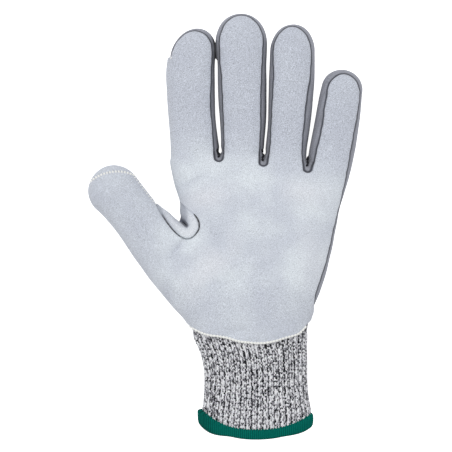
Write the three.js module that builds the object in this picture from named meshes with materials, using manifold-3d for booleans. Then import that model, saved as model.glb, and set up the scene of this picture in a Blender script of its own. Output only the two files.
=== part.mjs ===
// A left-hand cut-resistant work glove, lying on its back with the palm up.
//
// Units are millimetres. +X is towards the little finger, +Y towards the fingertips and +Z away from
// the surface it lies on, out of the palm. The origin is under the middle of the glove.
//
// The knitted glove is a hollow wall: rounded sections are lofted along the hand, the fingers and the
// thumb, joined, and a copy that is one wall thinner is taken out. The leather lies on it as a second
// layer, a shell of the same sections a little larger, cut to the outline of each leather piece.

import * as THREE from "three";
import { mergeVertices } from "three/addons/utils/BufferGeometryUtils.js";
import Module from "manifold-3d";

// Layers, as distances out of the knitted glove's outer face
const KNIT_WALL = 1.4;
const LAYER_GAP = 0.3;
const LEATHER_THICKNESS = 1.2;
const LEATHER_INSIDE = LAYER_GAP;
const LEATHER_OUTSIDE = LAYER_GAP + LEATHER_THICKNESS;

// Gap between neighbouring pieces that meet edge to edge
const JOINT_GAP = 0.3;

// Rounded sections: number of sides, and how square they are (2 is an ellipse)
const HAND_SIDES = 24;
const FINGER_SIDES = 14;
const THUMB_SIDES = 14;
const HAND_SQUARENESS = 2.4;
const FINGER_SQUARENESS = 2.25;

// The hand and cuff, from the hem to the knuckles: left and right edges, half depth and the axis's height.
// The hem is bowed: its palm side hangs lower than its ends by `bow`.
const HAND_ROWS = [
  { y: -115.1, left: -15.4, right: 50.8, deep: 16.4, z: 18.2, bow: 10.8 },
  { y: -109.6, left: -15.4, right: 50.8, deep: 16.4, z: 18.2, bow: 10.8 },
  { y: -101.0, left: -13.2, right: 49.2, deep: 15.8, z: 16.8, bow: 5.6 },
  { y: -91.5, left: -12.8, right: 48.6, deep: 15.4, z: 15.4, bow: 0 },
  { y: -77.0, left: -15.0, right: 48.6, deep: 15.8, z: 15.2, bow: 0 },
  { y: -67.0, left: -19.2, right: 48.6, deep: 16.2, z: 15.2, bow: 0 },
  { y: -57.5, left: -21.2, right: 49.4, deep: 16.6, z: 15.4, bow: 0 },
  { y: -38.5, left: -22.8, right: 56.4, deep: 17.0, z: 15.8, bow: 0 },
  { y: -19.5, left: -23.4, right: 62.0, deep: 17.0, z: 15.9, bow: 0 },
  { y: 0.0, left: -25.5, right: 66.2, deep: 16.4, z: 15.4, bow: 0 },
  { y: 12.5, left: -26.0, right: 68.4, deep: 15.6, z: 14.6, bow: 0 },
  { y: 24.5, left: -29.5, right: 70.8, deep: 14.6, z: 13.6, bow: 0 },
  { y: 33.5, left: -31.4, right: 72.4, deep: 13.4, z: 12.5, bow: 0 },
];
const HAND_END_LENGTH = 10.5;
const KNUCKLE_LINE_SLOPE = -0.09;

// From here to the knuckles each row leans more, so that the little finger's side is lower
const SKEW_STARTS = 12;

// Each digit from its root to where its round tip starts: its axis, half width and depth, and height
const INDEX = {
  rows: [
    { x: -13.5, y: 22.0, wide: 14.0, deep: 12.5, z: 12.8 },
    { x: -17.0, y: 38.5, wide: 14.6, deep: 11.8, z: 12.0 },
    { x: -18.4, y: 51.5, wide: 13.6, deep: 11.0, z: 11.6 },
    { x: -19.8, y: 66.5, wide: 13.4, deep: 10.8, z: 11.8 },
    { x: -20.4, y: 81.5, wide: 13.8, deep: 10.8, z: 12.6 },
    { x: -20.6, y: 95.0, wide: 13.9, deep: 10.4, z: 13.6 },
    { x: -19.8, y: 103.0, wide: 13.7, deep: 10.0, z: 14.3 },
  ],
  tip: 15.4,
};
const MIDDLE = {
  rows: [
    { x: 7.5, y: 20.0, wide: 14.0, deep: 13.0, z: 13.0 },
    { x: 9.4, y: 38.0, wide: 13.2, deep: 12.2, z: 12.2 },
    { x: 10.0, y: 50.0, wide: 13.0, deep: 11.4, z: 11.8 },
    { x: 10.2, y: 63.0, wide: 13.9, deep: 11.2, z: 11.8 },
    { x: 9.8, y: 79.0, wide: 14.6, deep: 11.2, z: 12.4 },
    { x: 9.6, y: 96.0, wide: 14.7, deep: 10.8, z: 13.8 },
    { x: 9.2, y: 110.5, wide: 15.5, deep: 10.2, z: 15.2 },
  ],
  tip: 17.1,
};
const RING = {
  rows: [
    { x: 33.0, y: 18.0, wide: 14.0, deep: 12.8, z: 12.8 },
    { x: 35.0, y: 35.0, wide: 13.0, deep: 12.0, z: 12.0 },
    { x: 36.2, y: 47.0, wide: 12.4, deep: 11.2, z: 11.5 },
    { x: 37.8, y: 60.0, wide: 12.7, deep: 10.8, z: 11.5 },
    { x: 38.9, y: 77.0, wide: 13.4, deep: 10.8, z: 12.2 },
    { x: 39.7, y: 94.0, wide: 13.7, deep: 10.4, z: 13.5 },
    { x: 39.9, y: 105.0, wide: 13.4, deep: 10.0, z: 14.4 },
  ],
  tip: 16.2,
};
const LITTLE = {
  rows: [
    { x: 55.0, y: 14.0, wide: 12.6, deep: 11.6, z: 12.2 },
    { x: 60.8, y: 31.5, wide: 13.2, deep: 11.2, z: 11.4 },
    { x: 63.8, y: 45.5, wide: 13.6, deep: 10.6, z: 10.9 },
    { x: 66.4, y: 60.0, wide: 13.4, deep: 10.2, z: 10.9 },
    { x: 68.7, y: 75.5, wide: 12.9, deep: 9.8, z: 11.8 },
    { x: 69.7, y: 82.0, wide: 12.4, deep: 9.6, z: 12.3 },
  ],
  tip: 12.0,
};
const THUMB = {
  rows: [
    { x: -9.0, y: -52.0, wide: 12.6, deep: 13.2, z: 16.4 },
    { x: -22.0, y: -36.0, wide: 14.2, deep: 14.0, z: 16.6 },
    { x: -34.4, y: -20.0, wide: 14.8, deep: 13.6, z: 16.6 },
    { x: -46.0, y: -5.0, wide: 13.9, deep: 12.8, z: 16.6 },
    { x: -56.6, y: 8.8, wide: 13.2, deep: 12.0, z: 16.8 },
    { x: -66.8, y: 20.6, wide: 14.2, deep: 11.4, z: 17.4 },
  ],
  tip: 14.6,
};

// The web between thumb and palm: a short bridge that rounds the crotch
const WEB = {
  rows: [
    { x: -47.0, y: 1.2, wide: 10.0, deep: 9.6, z: 16.6 },
    { x: -37.5, y: -6.6, wide: 10.4, deep: 10.0, z: 16.2 },
    { x: -26.4, y: -14.4, wide: 14.2, deep: 12.4, z: 16.0 },
    { x: -14.0, y: -14.0, wide: 15.0, deep: 13.0, z: 15.8 },
  ],
  tip: 0,
};

// Where the knitted glove divides into pieces
const CUFF_TOP = -63.5;
const STALL_STARTS = [
  { name: "index_stall", digit: INDEX, y: 48.0 },
  { name: "middle_stall", digit: MIDDLE, y: 48.0 },
  { name: "ring_stall", digit: RING, y: 46.0 },
  { name: "little_stall", digit: LITTLE, y: 43.0 },
];
const THUMB_STALL_ROOT = { x: -47.5, y: -7.0 };
const THUMB_DIRECTION = new THREE.Vector3(-0.62, 0.785, 0).normalize();

// The surface it lies on presses the back flat
const FLOOR = 0;

// How far the palm's leather goes down past the middle of each side
const HAND_WRAP = { left: 7, right: 0.5 };
const INDEX_WRAP = { left: 5, right: 0.5 };
const FINGER_WRAP = { left: 0.5, right: 0.5 };
const THUMB_WRAP = { left: 5, right: 5 };

// The palm leather's four finger fronts: the left and right edges of each, and its round tip.
// On the index finger it goes on round the outer side, so that front's left edge lies outside the glove.
const FINGER_FRONTS = [
  {
    tip: { x: -19.4, y: 100.8, wide: 12.6, long: 15.6 },
    rows: [
      { y: 100.8, left: -50.0, right: -9.0 },
      { y: 90.0, left: -50.0, right: -8.8 },
      { y: 76.0, left: -50.0, right: -9.8 },
      { y: 60.0, left: -50.0, right: -9.2 },
      { y: 46.0, left: -50.0, right: -8.0 },
      { y: 38.0, left: -50.0, right: -6.4 },
    ],
  },
  {
    tip: { x: 9.2, y: 110.0, wide: 12.6, long: 16.0 },
    rows: [
      { y: 110.0, left: -3.4, right: 21.8 },
      { y: 99.0, left: -3.0, right: 21.4 },
      { y: 80.0, left: -2.2, right: 20.7 },
      { y: 60.0, left: -1.0, right: 20.7 },
      { y: 46.0, left: -0.6, right: 19.2 },
      { y: 38.0, left: -1.6, right: 18.9 },
    ],
  },
  {
    tip: { x: 39.6, y: 103.0, wide: 11.4, long: 16.4 },
    rows: [
      { y: 103.0, left: 28.4, right: 51.0 },
      { y: 90.0, left: 28.6, right: 50.4 },
      { y: 76.0, left: 27.8, right: 48.2 },
      { y: 60.0, left: 27.0, right: 46.6 },
      { y: 46.0, left: 26.2, right: 45.0 },
      { y: 34.0, left: 24.6, right: 46.4 },
    ],
  },
  {
    tip: { x: 70.4, y: 79.0, wide: 9.8, long: 12.0 },
    rows: [
      { y: 79.0, left: 60.6, right: 80.2 },
      { y: 70.0, left: 59.0, right: 79.2 },
      { y: 60.0, left: 57.8, right: 77.4 },
      { y: 46.0, left: 55.2, right: 74.8 },
      { y: 30.0, left: 50.0, right: 72.0 },
    ],
  },
];

// The palm's own outline: down its right edge, along the hem from right to left, and up outside the thumb
const PALM_RIGHT_EDGE = [
  { x: 68.6, y: 14.0 },
  { x: 65.4, y: 0.0 },
  { x: 61.4, y: -16.0 },
  { x: 58.8, y: -25.5 },
  { x: 55.4, y: -35.5 },
  { x: 53.8, y: -43.0 },
  { x: 53.6, y: -50.0 },
];
const LEATHER_HEM = [
  { x: 58.0, y: -54.0 },
  { x: 48.0, y: -61.6 },
  { x: 36.0, y: -66.0 },
  { x: 23.0, y: -69.4 },
  { x: 10.0, y: -68.8 },
  { x: -2.0, y: -66.6 },
  { x: -13.0, y: -64.2 },
  { x: -23.0, y: -58.6 },
  { x: -36.0, y: -50.0 },
];

// The seam round the thumb crotch, a loop open towards the gap between thumb and index finger
const CROTCH_SEAM = [
  { x: -42.0, y: 18.0 },
  { x: -39.0, y: 10.0 },
  { x: -35.6, y: 2.6 },
  { x: -31.8, y: -2.4 },
  { x: -27.4, y: -5.8 },
  { x: -21.6, y: -7.2 },
  { x: -17.2, y: -4.6 },
  { x: -15.6, y: 0.4 },
  { x: -17.0, y: 6.4 },
  { x: -21.4, y: 11.4 },
  { x: -28.0, y: 16.2 },
  { x: -36.0, y: 21.0 },
];

// The stitched seam over the thumb tip: an arc about this point, short of the round tip
const THUMB_SEAM = { x: -65.0, y: 8.0, radius: 24.4 };

// Along the thumb from its stall's root: where the leather on its back ends, and its tip seam starts
const THUMB_BACK_END = -14;
const THUMB_SEAM_START = 24;

// The crotch's leather goes on round the side of the hand to this height
const CROTCH_LEATHER_HEIGHT = 4;

// The bound edge of the cuff: it folds over the knit by this much, inside and out
const BINDING_HEIGHT = 5.2;
const BINDING_THICKNESS = 1.1;

const wasm = await Module();
wasm.setup();

// A section of a rounded tube: points of a superellipse about a centre, across `side` and `up`.
// With `wrap`, only what is above the axis is kept, and that far below it on the left and the right.
function sectionPoints(section, grow, sides, squareness, wrap) {
  const points = [];
  const turn = sides === HAND_SIDES ? 0.5 : 0;
  const rounded = (value) => Math.sign(value) * Math.abs(value) ** (2 / squareness);
  for (let i = 0; i < sides; i++) {
    const angle = ((i + turn) / sides) * 2 * Math.PI;
    const across = (section.wide + grow) * section.scale * rounded(Math.cos(angle));
    let above = (section.deep + grow) * section.scale * rounded(Math.sin(angle));
    if (wrap) above = Math.max(above, -(across < 0 ? wrap.left : wrap.right) * section.scale);
    const point = section.centre
      .clone()
      .addScaledVector(section.side, across)
      .addScaledVector(section.up, above);
    point.y += (section.skew ?? 0) * across - (section.bow ?? 0) * Math.max(0, Math.sin(angle)) ** 2;
    points.push(point);
  }
  return points;
}

// A closed solid through rings of points, with a flat or pointed fan at each end
function solidThrough(rings, startPoint, endPoint) {
  const sides = rings[0].length;
  const vertices = [startPoint, ...rings.flat(), endPoint];
  const last = vertices.length - 1;
  const at = (ring, i) => 1 + ring * sides + (i % sides);
  const triangles = [];
  for (let i = 0; i < sides; i++) {
    triangles.push([0, at(0, i), at(0, i + 1)]);
    triangles.push([last, at(rings.length - 1, i + 1), at(rings.length - 1, i)]);
    for (let ring = 0; ring + 1 < rings.length; ring++) {
      triangles.push([at(ring, i), at(ring + 1, i), at(ring, i + 1)]);
      triangles.push([at(ring + 1, i), at(ring + 1, i + 1), at(ring, i + 1)]);
    }
  }
  return solidFrom(vertices.flatMap((p) => [p.x, p.y, p.z]), triangles.flat());
}

function solidFrom(positions, indices) {
  const make = (order) =>
    new wasm.Manifold(
      new wasm.Mesh({
        numProp: 3,
        vertProperties: new Float32Array(positions),
        triVerts: new Uint32Array(order),
      }),
    );
  const solid = make(indices);
  if (solid.volume() > 0) return solid;
  const turned = [];
  for (let i = 0; i < indices.length; i += 3) turned.push(indices[i], indices[i + 2], indices[i + 1]);
  return make(turned);
}

// The end of a loft, rounded off: sections that shrink along a quarter of an ellipse
const TIP_ANGLES = [25, 48, 68].map((degrees) => THREE.MathUtils.degToRad(degrees));

// A digit: sections square to its axis, and a round tip
function digitSolid(digit, grow, sides, wrap) {
  const { rows, tip } = digit;
  const centres = rows.map((row) => new THREE.Vector3(row.x, row.y, row.z));
  const upwards = new THREE.Vector3(0, 0, 1);
  const frameAt = (i) => {
    const before = centres[Math.max(0, i - 1)];
    const after = centres[Math.min(centres.length - 1, i + 1)];
    const along = after.clone().sub(before).normalize();
    const side = along.clone().cross(upwards).normalize();
    return { along, side, up: side.clone().cross(along) };
  };
  const sections = rows.map((row, i) => ({ ...row, ...frameAt(i), centre: centres[i], scale: 1 }));
  const final = sections[sections.length - 1];
  const first = sections[0];
  const domeEnd = final.centre.clone().addScaledVector(final.along, tip + grow);
  if (tip > 0)
    for (const angle of TIP_ANGLES)
      sections.push({
        ...final,
        centre: final.centre.clone().addScaledVector(final.along, (tip + grow) * Math.sin(angle)),
        scale: Math.cos(angle),
      });
  const rings = sections.map((section) => sectionPoints(section, grow, sides, FINGER_SQUARENESS, wrap));
  return solidThrough(rings, first.centre, tip > 0 ? domeEnd : final.centre);
}

// The hand with its cuff: upright sections across the hand, open past the hem and rounded at the knuckles
function handSolid(grow, pastHem, wrap) {
  const side = new THREE.Vector3(1, 0, 0);
  const up = new THREE.Vector3(0, 0, 1);
  const sectionOf = (row) => ({
    side,
    up,
    centre: new THREE.Vector3((row.left + row.right) / 2, row.y, row.z),
    wide: (row.right - row.left) / 2,
    deep: row.deep,
    bow: row.bow,
    scale: 1,
    skew: Math.max(0, row.y - SKEW_STARTS) * (KNUCKLE_LINE_SLOPE / (HAND_ROWS.at(-1).y - SKEW_STARTS)),
  });
  const sections = HAND_ROWS.map(sectionOf);
  const hem = sections[0];
  if (pastHem > 0) sections.unshift({ ...hem, centre: hem.centre.clone().setY(hem.centre.y - pastHem) });
  const knuckles = sections.at(-1);
  const ended = (angle) => ({
    ...knuckles,
    centre: knuckles.centre.clone().setY(knuckles.centre.y + (HAND_END_LENGTH + grow) * Math.sin(angle)),
    scale: Math.cos(angle),
    skew: KNUCKLE_LINE_SLOPE,
  });
  for (const angle of TIP_ANGLES) sections.push(ended(angle));
  const rings = sections.map((section) =>
    sectionPoints(section, grow, HAND_SIDES, HAND_SQUARENESS, wrap),
  );
  const start = sections[0].centre.clone();
  return solidThrough(rings, start, ended(Math.PI / 2).centre);
}

const boxSolid = (low, high) => {
  const size = new THREE.Vector3().subVectors(high, low);
  const box = new THREE.BoxGeometry(size.x, size.y, size.z);
  box.translate((low.x + high.x) / 2, (low.y + high.y) / 2, (low.z + high.z) / 2);
  return solidOfGeometry(box);
};

function solidOfGeometry(geometry) {
  const bare = geometry.clone();
  bare.deleteAttribute("normal");
  bare.deleteAttribute("uv");
  const merged = mergeVertices(bare, 1e-4);
  return solidFrom(Array.from(merged.attributes.position.array), Array.from(merged.index.array));
}

const FAR = 400;
const above = (height) =>
  boxSolid(new THREE.Vector3(-FAR, -FAR, height), new THREE.Vector3(FAR, FAR, FAR));
const beyondY = (y) => boxSolid(new THREE.Vector3(-FAR, y, -FAR), new THREE.Vector3(FAR, FAR, FAR));

// Everything further along the thumb than a point `offset` past its stall's root
function beyondThumb(offset) {
  const slab = new THREE.BoxGeometry(FAR, FAR, FAR);
  slab.translate(0, FAR / 2, 0);
  slab.rotateZ(Math.atan2(-THUMB_DIRECTION.x, THUMB_DIRECTION.y));
  slab.translate(
    THUMB_STALL_ROOT.x + THUMB_DIRECTION.x * offset,
    THUMB_STALL_ROOT.y + THUMB_DIRECTION.y * offset,
    0,
  );
  return solidOfGeometry(slab);
}

const union = (solids) => solids.reduce((sum, solid) => sum.add(solid));

// The whole glove's form, grown by a distance
function gloveForm(grow, pastHem = 0) {
  return union([
    handSolid(grow, pastHem),
    digitSolid(WEB, grow, FINGER_SIDES),
    digitSolid(INDEX, grow, FINGER_SIDES),
    digitSolid(MIDDLE, grow, FINGER_SIDES),
    digitSolid(RING, grow, FINGER_SIDES),
    digitSolid(LITTLE, grow, FINGER_SIDES),
    digitSolid(THUMB, grow, THUMB_SIDES),
  ]);
}

// The space over the palm's side of the glove, as far round each part as the palm's leather wraps it
function palmSideForm(grow) {
  return union([
    handSolid(grow, 0, HAND_WRAP),
    digitSolid(WEB, grow, FINGER_SIDES, THUMB_WRAP),
    digitSolid(INDEX, grow, FINGER_SIDES, INDEX_WRAP),
    digitSolid(MIDDLE, grow, FINGER_SIDES, FINGER_WRAP),
    digitSolid(RING, grow, FINGER_SIDES, FINGER_WRAP),
    digitSolid(LITTLE, grow, FINGER_SIDES, FINGER_WRAP),
    digitSolid(THUMB, grow, THUMB_SIDES, THUMB_WRAP),
  ]);
}

// The knitted glove: one wall, open at the hem, flat where it lies
const outerForm = gloveForm(0).intersect(above(FLOOR));
const innerForm = gloveForm(-KNIT_WALL, BINDING_HEIGHT).intersect(above(FLOOR + KNIT_WALL));
const knitShell = outerForm.subtract(innerForm);

// Extrudes a flat outline through the whole height of the glove
function prism(points) {
  const shape = new THREE.Shape(points.map((p) => new THREE.Vector2(p.x, p.y)));
  const geometry = new THREE.ExtrudeGeometry(shape, { depth: FAR, bevelEnabled: false });
  geometry.translate(0, 0, -FAR / 2);
  return solidOfGeometry(geometry);
}

// A finger front's outline: up the left edge, round the tip and down the right edge
const FRONT_TIP_STEPS = 8;
function fingerFront({ tip, rows }) {
  const outline = [...rows].reverse().map((row) => ({ x: row.left, y: row.y }));
  for (let i = 0; i <= FRONT_TIP_STEPS; i++) {
    const angle = Math.PI * (1 - i / FRONT_TIP_STEPS);
    outline.push({ x: tip.x + tip.wide * Math.cos(angle), y: tip.y + tip.long * Math.sin(angle) + 0.01 });
  }
  outline.push(...rows.slice(1).map((row) => ({ x: row.right, y: row.y })));
  return outline;
}

// A smooth line through a few points
function smooth(points, steps) {
  const curve = new THREE.SplineCurve(points.map((p) => new THREE.Vector2(p.x, p.y)));
  return curve.getPoints(steps);
}

// Outline of the palm's leather: finger fronts joined by the three notches between the fingers
const palmOutline = [
  ...FINGER_FRONTS.flatMap(fingerFront),
  ...PALM_RIGHT_EDGE,
  ...smooth(LEATHER_HEM, 14),
  { x: -100, y: -50 },
  { x: -100, y: 60 },
  { x: -50, y: 60 },
];

// A disc of leather past the thumb's seam belongs to the thumb's back
const thumbSeamLoop = (radius) => {
  const points = [];
  const steps = 24;
  for (let i = 0; i < steps; i++) {
    const angle = (i / steps) * 2 * Math.PI;
    points.push({
      x: THUMB_SEAM.x + radius * Math.cos(angle),
      y: THUMB_SEAM.y + radius * Math.sin(angle),
    });
  }
  return points;
};

// Moves a closed loop's points outwards by a distance
function widened(loop, distance) {
  const count = loop.length;
  const area = loop.reduce((sum, p, i) => {
    const q = loop[(i + 1) % count];
    return sum + p.x * q.y - q.x * p.y;
  }, 0);
  return loop.map((p, i) => {
    const before = loop[(i + count - 1) % count];
    const after = loop[(i + 1) % count];
    const along = new THREE.Vector2(after.x - before.x, after.y - before.y).normalize();
    const out = distance * Math.sign(area);
    return { x: p.x + along.y * out, y: p.y - along.x * out };
  });
}

const leatherLayer = gloveForm(LEATHER_OUTSIDE).subtract(gloveForm(LEATHER_INSIDE));
const crotchLoop = smooth(CROTCH_SEAM, 16);
const thumbLeatherSpace = digitSolid(THUMB, LEATHER_OUTSIDE + 0.1, THUMB_SIDES);
const pastThumbSeam = (gap) =>
  thumbLeatherSpace
    .intersect(beyondThumb(THUMB_SEAM_START - gap))
    .subtract(prism(thumbSeamLoop(THUMB_SEAM.radius - gap)));

const palmLeather = leatherLayer
  .intersect(palmSideForm(LEATHER_OUTSIDE + 0.1))
  .intersect(prism(palmOutline))
  .subtract(prism(widened(crotchLoop, JOINT_GAP)))
  .subtract(pastThumbSeam(JOINT_GAP));

const crotchLeather = leatherLayer
  .intersect(prism(crotchLoop))
  .intersect(above(CROTCH_LEATHER_HEIGHT));

const thumbLeather = leatherLayer.intersect(beyondThumb(THUMB_BACK_END)).intersect(thumbLeatherSpace);
const thumbFrontSpace = digitSolid(THUMB, LEATHER_OUTSIDE + 0.2, THUMB_SIDES, {
  left: THUMB_WRAP.left + JOINT_GAP,
  right: THUMB_WRAP.right + JOINT_GAP,
});
const thumbBackLeather = thumbLeather
  .subtract(thumbFrontSpace.subtract(pastThumbSeam(0)))
  .subtract(prism(widened(crotchLoop, JOINT_GAP)));

// The knitted glove's pieces, from the hem to the fingertips
const thumbSpace = digitSolid(THUMB, 0.05, THUMB_SIDES);
const cuffKnit = knitShell.subtract(beyondY(CUFF_TOP - JOINT_GAP));
const thumbStall = knitShell.intersect(thumbSpace).intersect(beyondThumb(0));
const stalls = STALL_STARTS.map(({ name, digit, y }) => {
  const space = digitSolid(digit, 0.05, FINGER_SIDES);
  return {
    name,
    stall: knitShell.intersect(space).intersect(beyondY(y)),
    clearance: space.intersect(beyondY(y - JOINT_GAP)),
  };
});
const handKnit = knitShell
  .intersect(beyondY(CUFF_TOP))
  .subtract(union(stalls.map((piece) => piece.clearance)))
  .subtract(thumbSpace.intersect(beyondThumb(-JOINT_GAP)));

// A short tube round the cuff's hem, following its bow, from below the hem to above it
function hemTube(grow, below, height) {
  const hem = HAND_ROWS[0];
  const side = new THREE.Vector3(1, 0, 0);
  const up = new THREE.Vector3(0, 0, 1);
  const rings = [-below, height].map((dy) =>
    sectionPoints(
      {
        side,
        up,
        centre: new THREE.Vector3((hem.left + hem.right) / 2, hem.y + dy, hem.z),
        wide: (hem.right - hem.left) / 2,
        deep: hem.deep,
        bow: hem.bow,
        scale: 1,
      },
      grow,
      HAND_SIDES,
      HAND_SQUARENESS,
    ),
  );
  const centre = (dy) => new THREE.Vector3((hem.left + hem.right) / 2, hem.y + dy, hem.z);
  return solidThrough(rings, centre(-below), centre(height));
}

// The binding is folded over the hem: a channel whose two sides hold the knit between them
const bindingOutside = LAYER_GAP + BINDING_THICKNESS;
const cuffBinding = hemTube(bindingOutside, bindingOutside, BINDING_HEIGHT)
  .subtract(hemTube(-KNIT_WALL - bindingOutside, 10, 10))
  .subtract(hemTube(LAYER_GAP, LAYER_GAP, 10).subtract(hemTube(-KNIT_WALL - LAYER_GAP, 10, 20)));

function part(name, solid, material) {
  const { vertProperties, triVerts, numProp } = solid.getMesh();
  const positions = new Float32Array((vertProperties.length / numProp) * 3);
  for (let i = 0; i < positions.length / 3; i++)
    positions.set(vertProperties.subarray(i * numProp, i * numProp + 3), i * 3);
  const geometry = new THREE.BufferGeometry();
  geometry.setAttribute("position", new THREE.BufferAttribute(positions, 3));
  geometry.setIndex(new THREE.BufferAttribute(new Uint32Array(triVerts), 1));
  geometry.computeVertexNormals();
  const mesh = new THREE.Mesh(geometry, material);
  mesh.name = name;
  return mesh;
}

const glove = new THREE.Group();
export default glove;

const knitted = () => new THREE.MeshStandardMaterial({ color: 0x9a999f, roughness: 0.95, metalness: 0 });
const coated = () => new THREE.MeshStandardMaterial({ color: 0x75787f, roughness: 0.6, metalness: 0 });
const leather = () => new THREE.MeshStandardMaterial({ color: 0xcdd2dc, roughness: 0.95, metalness: 0 });
const bound = () => new THREE.MeshStandardMaterial({ color: 0x146159, roughness: 0.8, metalness: 0 });

glove.add(
  part("cuff_knit", cuffKnit, knitted()),
  part("hand_knit", handKnit, coated()),
  ...stalls.map(({ name, stall }) => part(name, stall, coated())),
  part("thumb_stall", thumbStall, coated()),
  part("palm_leather", palmLeather, leather()),
  part("thumb_back_leather", thumbBackLeather, leather()),
  part("thumb_web_leather", crotchLeather, leather()),
  part("cuff_binding", cuffBinding, bound()),
);
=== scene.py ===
# %% [markdown]
# # A cut-resistant work glove, dressed
#
# The glove lies on its back with the palm up. A seamless glove is knitted from grey heather yarn, its palm
# side and fingertips are dipped in a dark coating, and pale suede is sewn over the palm, the thumb and the
# fronts of the fingers. A ribbed cuff ends in an edging of green thread.
#
# The CAD solids are the frame: they give every piece its place and its size. Here each solid is replaced by
# a finer surface of the same piece.

import math

import bpy
import numpy as np
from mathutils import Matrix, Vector


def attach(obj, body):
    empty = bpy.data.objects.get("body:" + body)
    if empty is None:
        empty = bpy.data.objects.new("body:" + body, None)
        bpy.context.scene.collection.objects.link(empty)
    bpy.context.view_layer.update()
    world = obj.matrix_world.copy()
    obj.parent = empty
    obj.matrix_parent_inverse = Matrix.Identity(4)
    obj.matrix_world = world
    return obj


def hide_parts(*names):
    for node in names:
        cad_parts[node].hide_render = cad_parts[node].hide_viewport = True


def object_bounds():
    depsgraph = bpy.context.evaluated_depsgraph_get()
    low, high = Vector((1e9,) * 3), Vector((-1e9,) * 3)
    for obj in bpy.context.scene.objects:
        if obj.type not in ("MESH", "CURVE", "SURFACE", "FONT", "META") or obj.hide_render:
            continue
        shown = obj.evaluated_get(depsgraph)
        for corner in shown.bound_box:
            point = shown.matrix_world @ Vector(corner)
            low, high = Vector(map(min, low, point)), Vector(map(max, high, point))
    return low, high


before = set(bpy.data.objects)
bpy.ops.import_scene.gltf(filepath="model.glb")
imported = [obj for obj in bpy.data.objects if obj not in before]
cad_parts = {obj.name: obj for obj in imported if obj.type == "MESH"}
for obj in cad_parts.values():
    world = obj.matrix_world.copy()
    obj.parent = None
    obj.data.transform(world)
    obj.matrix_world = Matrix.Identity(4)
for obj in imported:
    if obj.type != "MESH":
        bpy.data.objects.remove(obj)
cad_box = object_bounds()
size_mm = [round((high - low) * 1000, 1) for low, high in zip(*cad_box)]
print("CAD box in mm:", size_mm)

# %% [markdown]
# ## The tables of the glove's form
#
# A glove has no straight edges, so its form is best given as rows of a few widths: where each row's axis is,
# how far it goes to the sides, and how deep it is. The tables are the same as in the CAD source, in
# millimetres, and every surface below is worked out from them.

# %% Tables: the hand and cuff, from the hem to the knuckles
HAND = np.array(
    [  # y, left, right, half depth, height of the axis
        (-115.1, -15.4, 50.8, 16.4, 18.2),
        (-109.6, -15.4, 50.8, 16.4, 18.2),
        (-101.0, -13.2, 49.2, 15.8, 16.8),
        (-91.5, -12.8, 48.6, 15.4, 15.4),
        (-77.0, -15.0, 48.6, 15.8, 15.2),
        (-67.0, -19.2, 48.6, 16.2, 15.2),
        (-57.5, -21.2, 49.4, 16.6, 15.4),
        (-38.5, -22.8, 56.4, 17.0, 15.8),
        (-19.5, -23.4, 62.0, 17.0, 15.9),
        (0.0, -25.5, 66.2, 16.4, 15.4),
        (12.5, -26.0, 68.4, 15.6, 14.6),
        (24.5, -29.5, 70.8, 14.6, 13.6),
        (33.5, -31.4, 72.4, 13.4, 12.5),
    ]
)
HAND_SQUARENESS, DIGIT_SQUARENESS = 2.4, 2.25
HAND_END = 10.5
KNUCKLE_SLOPE, SKEW_STARTS = -0.09, 12.0
HEM_BOW = 10.8

# %% Tables: the digits, from the root to where the round tip starts
DIGITS = {  # x, y, half width, half depth, height of the axis
    "web": [
        (-47.0, 1.2, 10.0, 9.6, 16.6),
        (-37.5, -6.6, 10.4, 10.0, 16.2),
        (-26.4, -14.4, 14.2, 12.4, 16.0),
        (-14.0, -14.0, 15.0, 13.0, 15.8),
    ],
    "thumb": [
        (-9.0, -52.0, 12.6, 13.2, 16.4),
        (-22.0, -36.0, 14.2, 14.0, 16.6),
        (-34.4, -20.0, 14.8, 13.6, 16.6),
        (-46.0, -5.0, 13.9, 12.8, 16.6),
        (-56.6, 8.8, 13.2, 12.0, 16.8),
        (-66.8, 20.6, 14.2, 11.4, 17.4),
    ],
    "index": [
        (-13.5, 22.0, 14.0, 12.5, 12.8),
        (-17.0, 38.5, 14.6, 11.8, 12.0),
        (-18.4, 51.5, 13.6, 11.0, 11.6),
        (-19.8, 66.5, 13.4, 10.8, 11.8),
        (-20.4, 81.5, 13.8, 10.8, 12.6),
        (-20.6, 95.0, 13.9, 10.4, 13.6),
        (-19.8, 103.0, 13.7, 10.0, 14.3),
    ],
    "middle": [
        (7.5, 20.0, 14.0, 13.0, 13.0),
        (9.4, 38.0, 13.2, 12.2, 12.2),
        (10.0, 50.0, 13.0, 11.4, 11.8),
        (10.2, 63.0, 13.9, 11.2, 11.8),
        (9.8, 79.0, 14.6, 11.2, 12.4),
        (9.6, 96.0, 14.7, 10.8, 13.8),
        (9.2, 110.5, 15.5, 10.2, 15.2),
    ],
    "ring": [
        (33.0, 18.0, 14.0, 12.8, 12.8),
        (35.0, 35.0, 13.0, 12.0, 12.0),
        (36.2, 47.0, 12.4, 11.2, 11.5),
        (37.8, 60.0, 12.7, 10.8, 11.5),
        (38.9, 77.0, 13.4, 10.8, 12.2),
        (39.7, 94.0, 13.7, 10.4, 13.5),
        (39.9, 105.0, 13.4, 10.0, 14.4),
    ],
    "little": [
        (55.0, 14.0, 12.6, 11.6, 12.2),
        (60.8, 31.5, 13.2, 11.2, 11.4),
        (63.8, 45.5, 13.6, 10.6, 10.9),
        (66.4, 60.0, 13.4, 10.2, 10.9),
        (68.7, 75.5, 12.9, 9.8, 11.8),
        (69.7, 82.0, 12.4, 9.6, 12.3),
    ],
}
TIPS = {"web": 10.0, "thumb": 14.6, "index": 15.4, "middle": 17.1, "ring": 16.2, "little": 12.0}
TIP_LEANS = {"index": 0.19, "middle": -0.02}  # how far to the right the round tip goes for each mm along it
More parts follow.
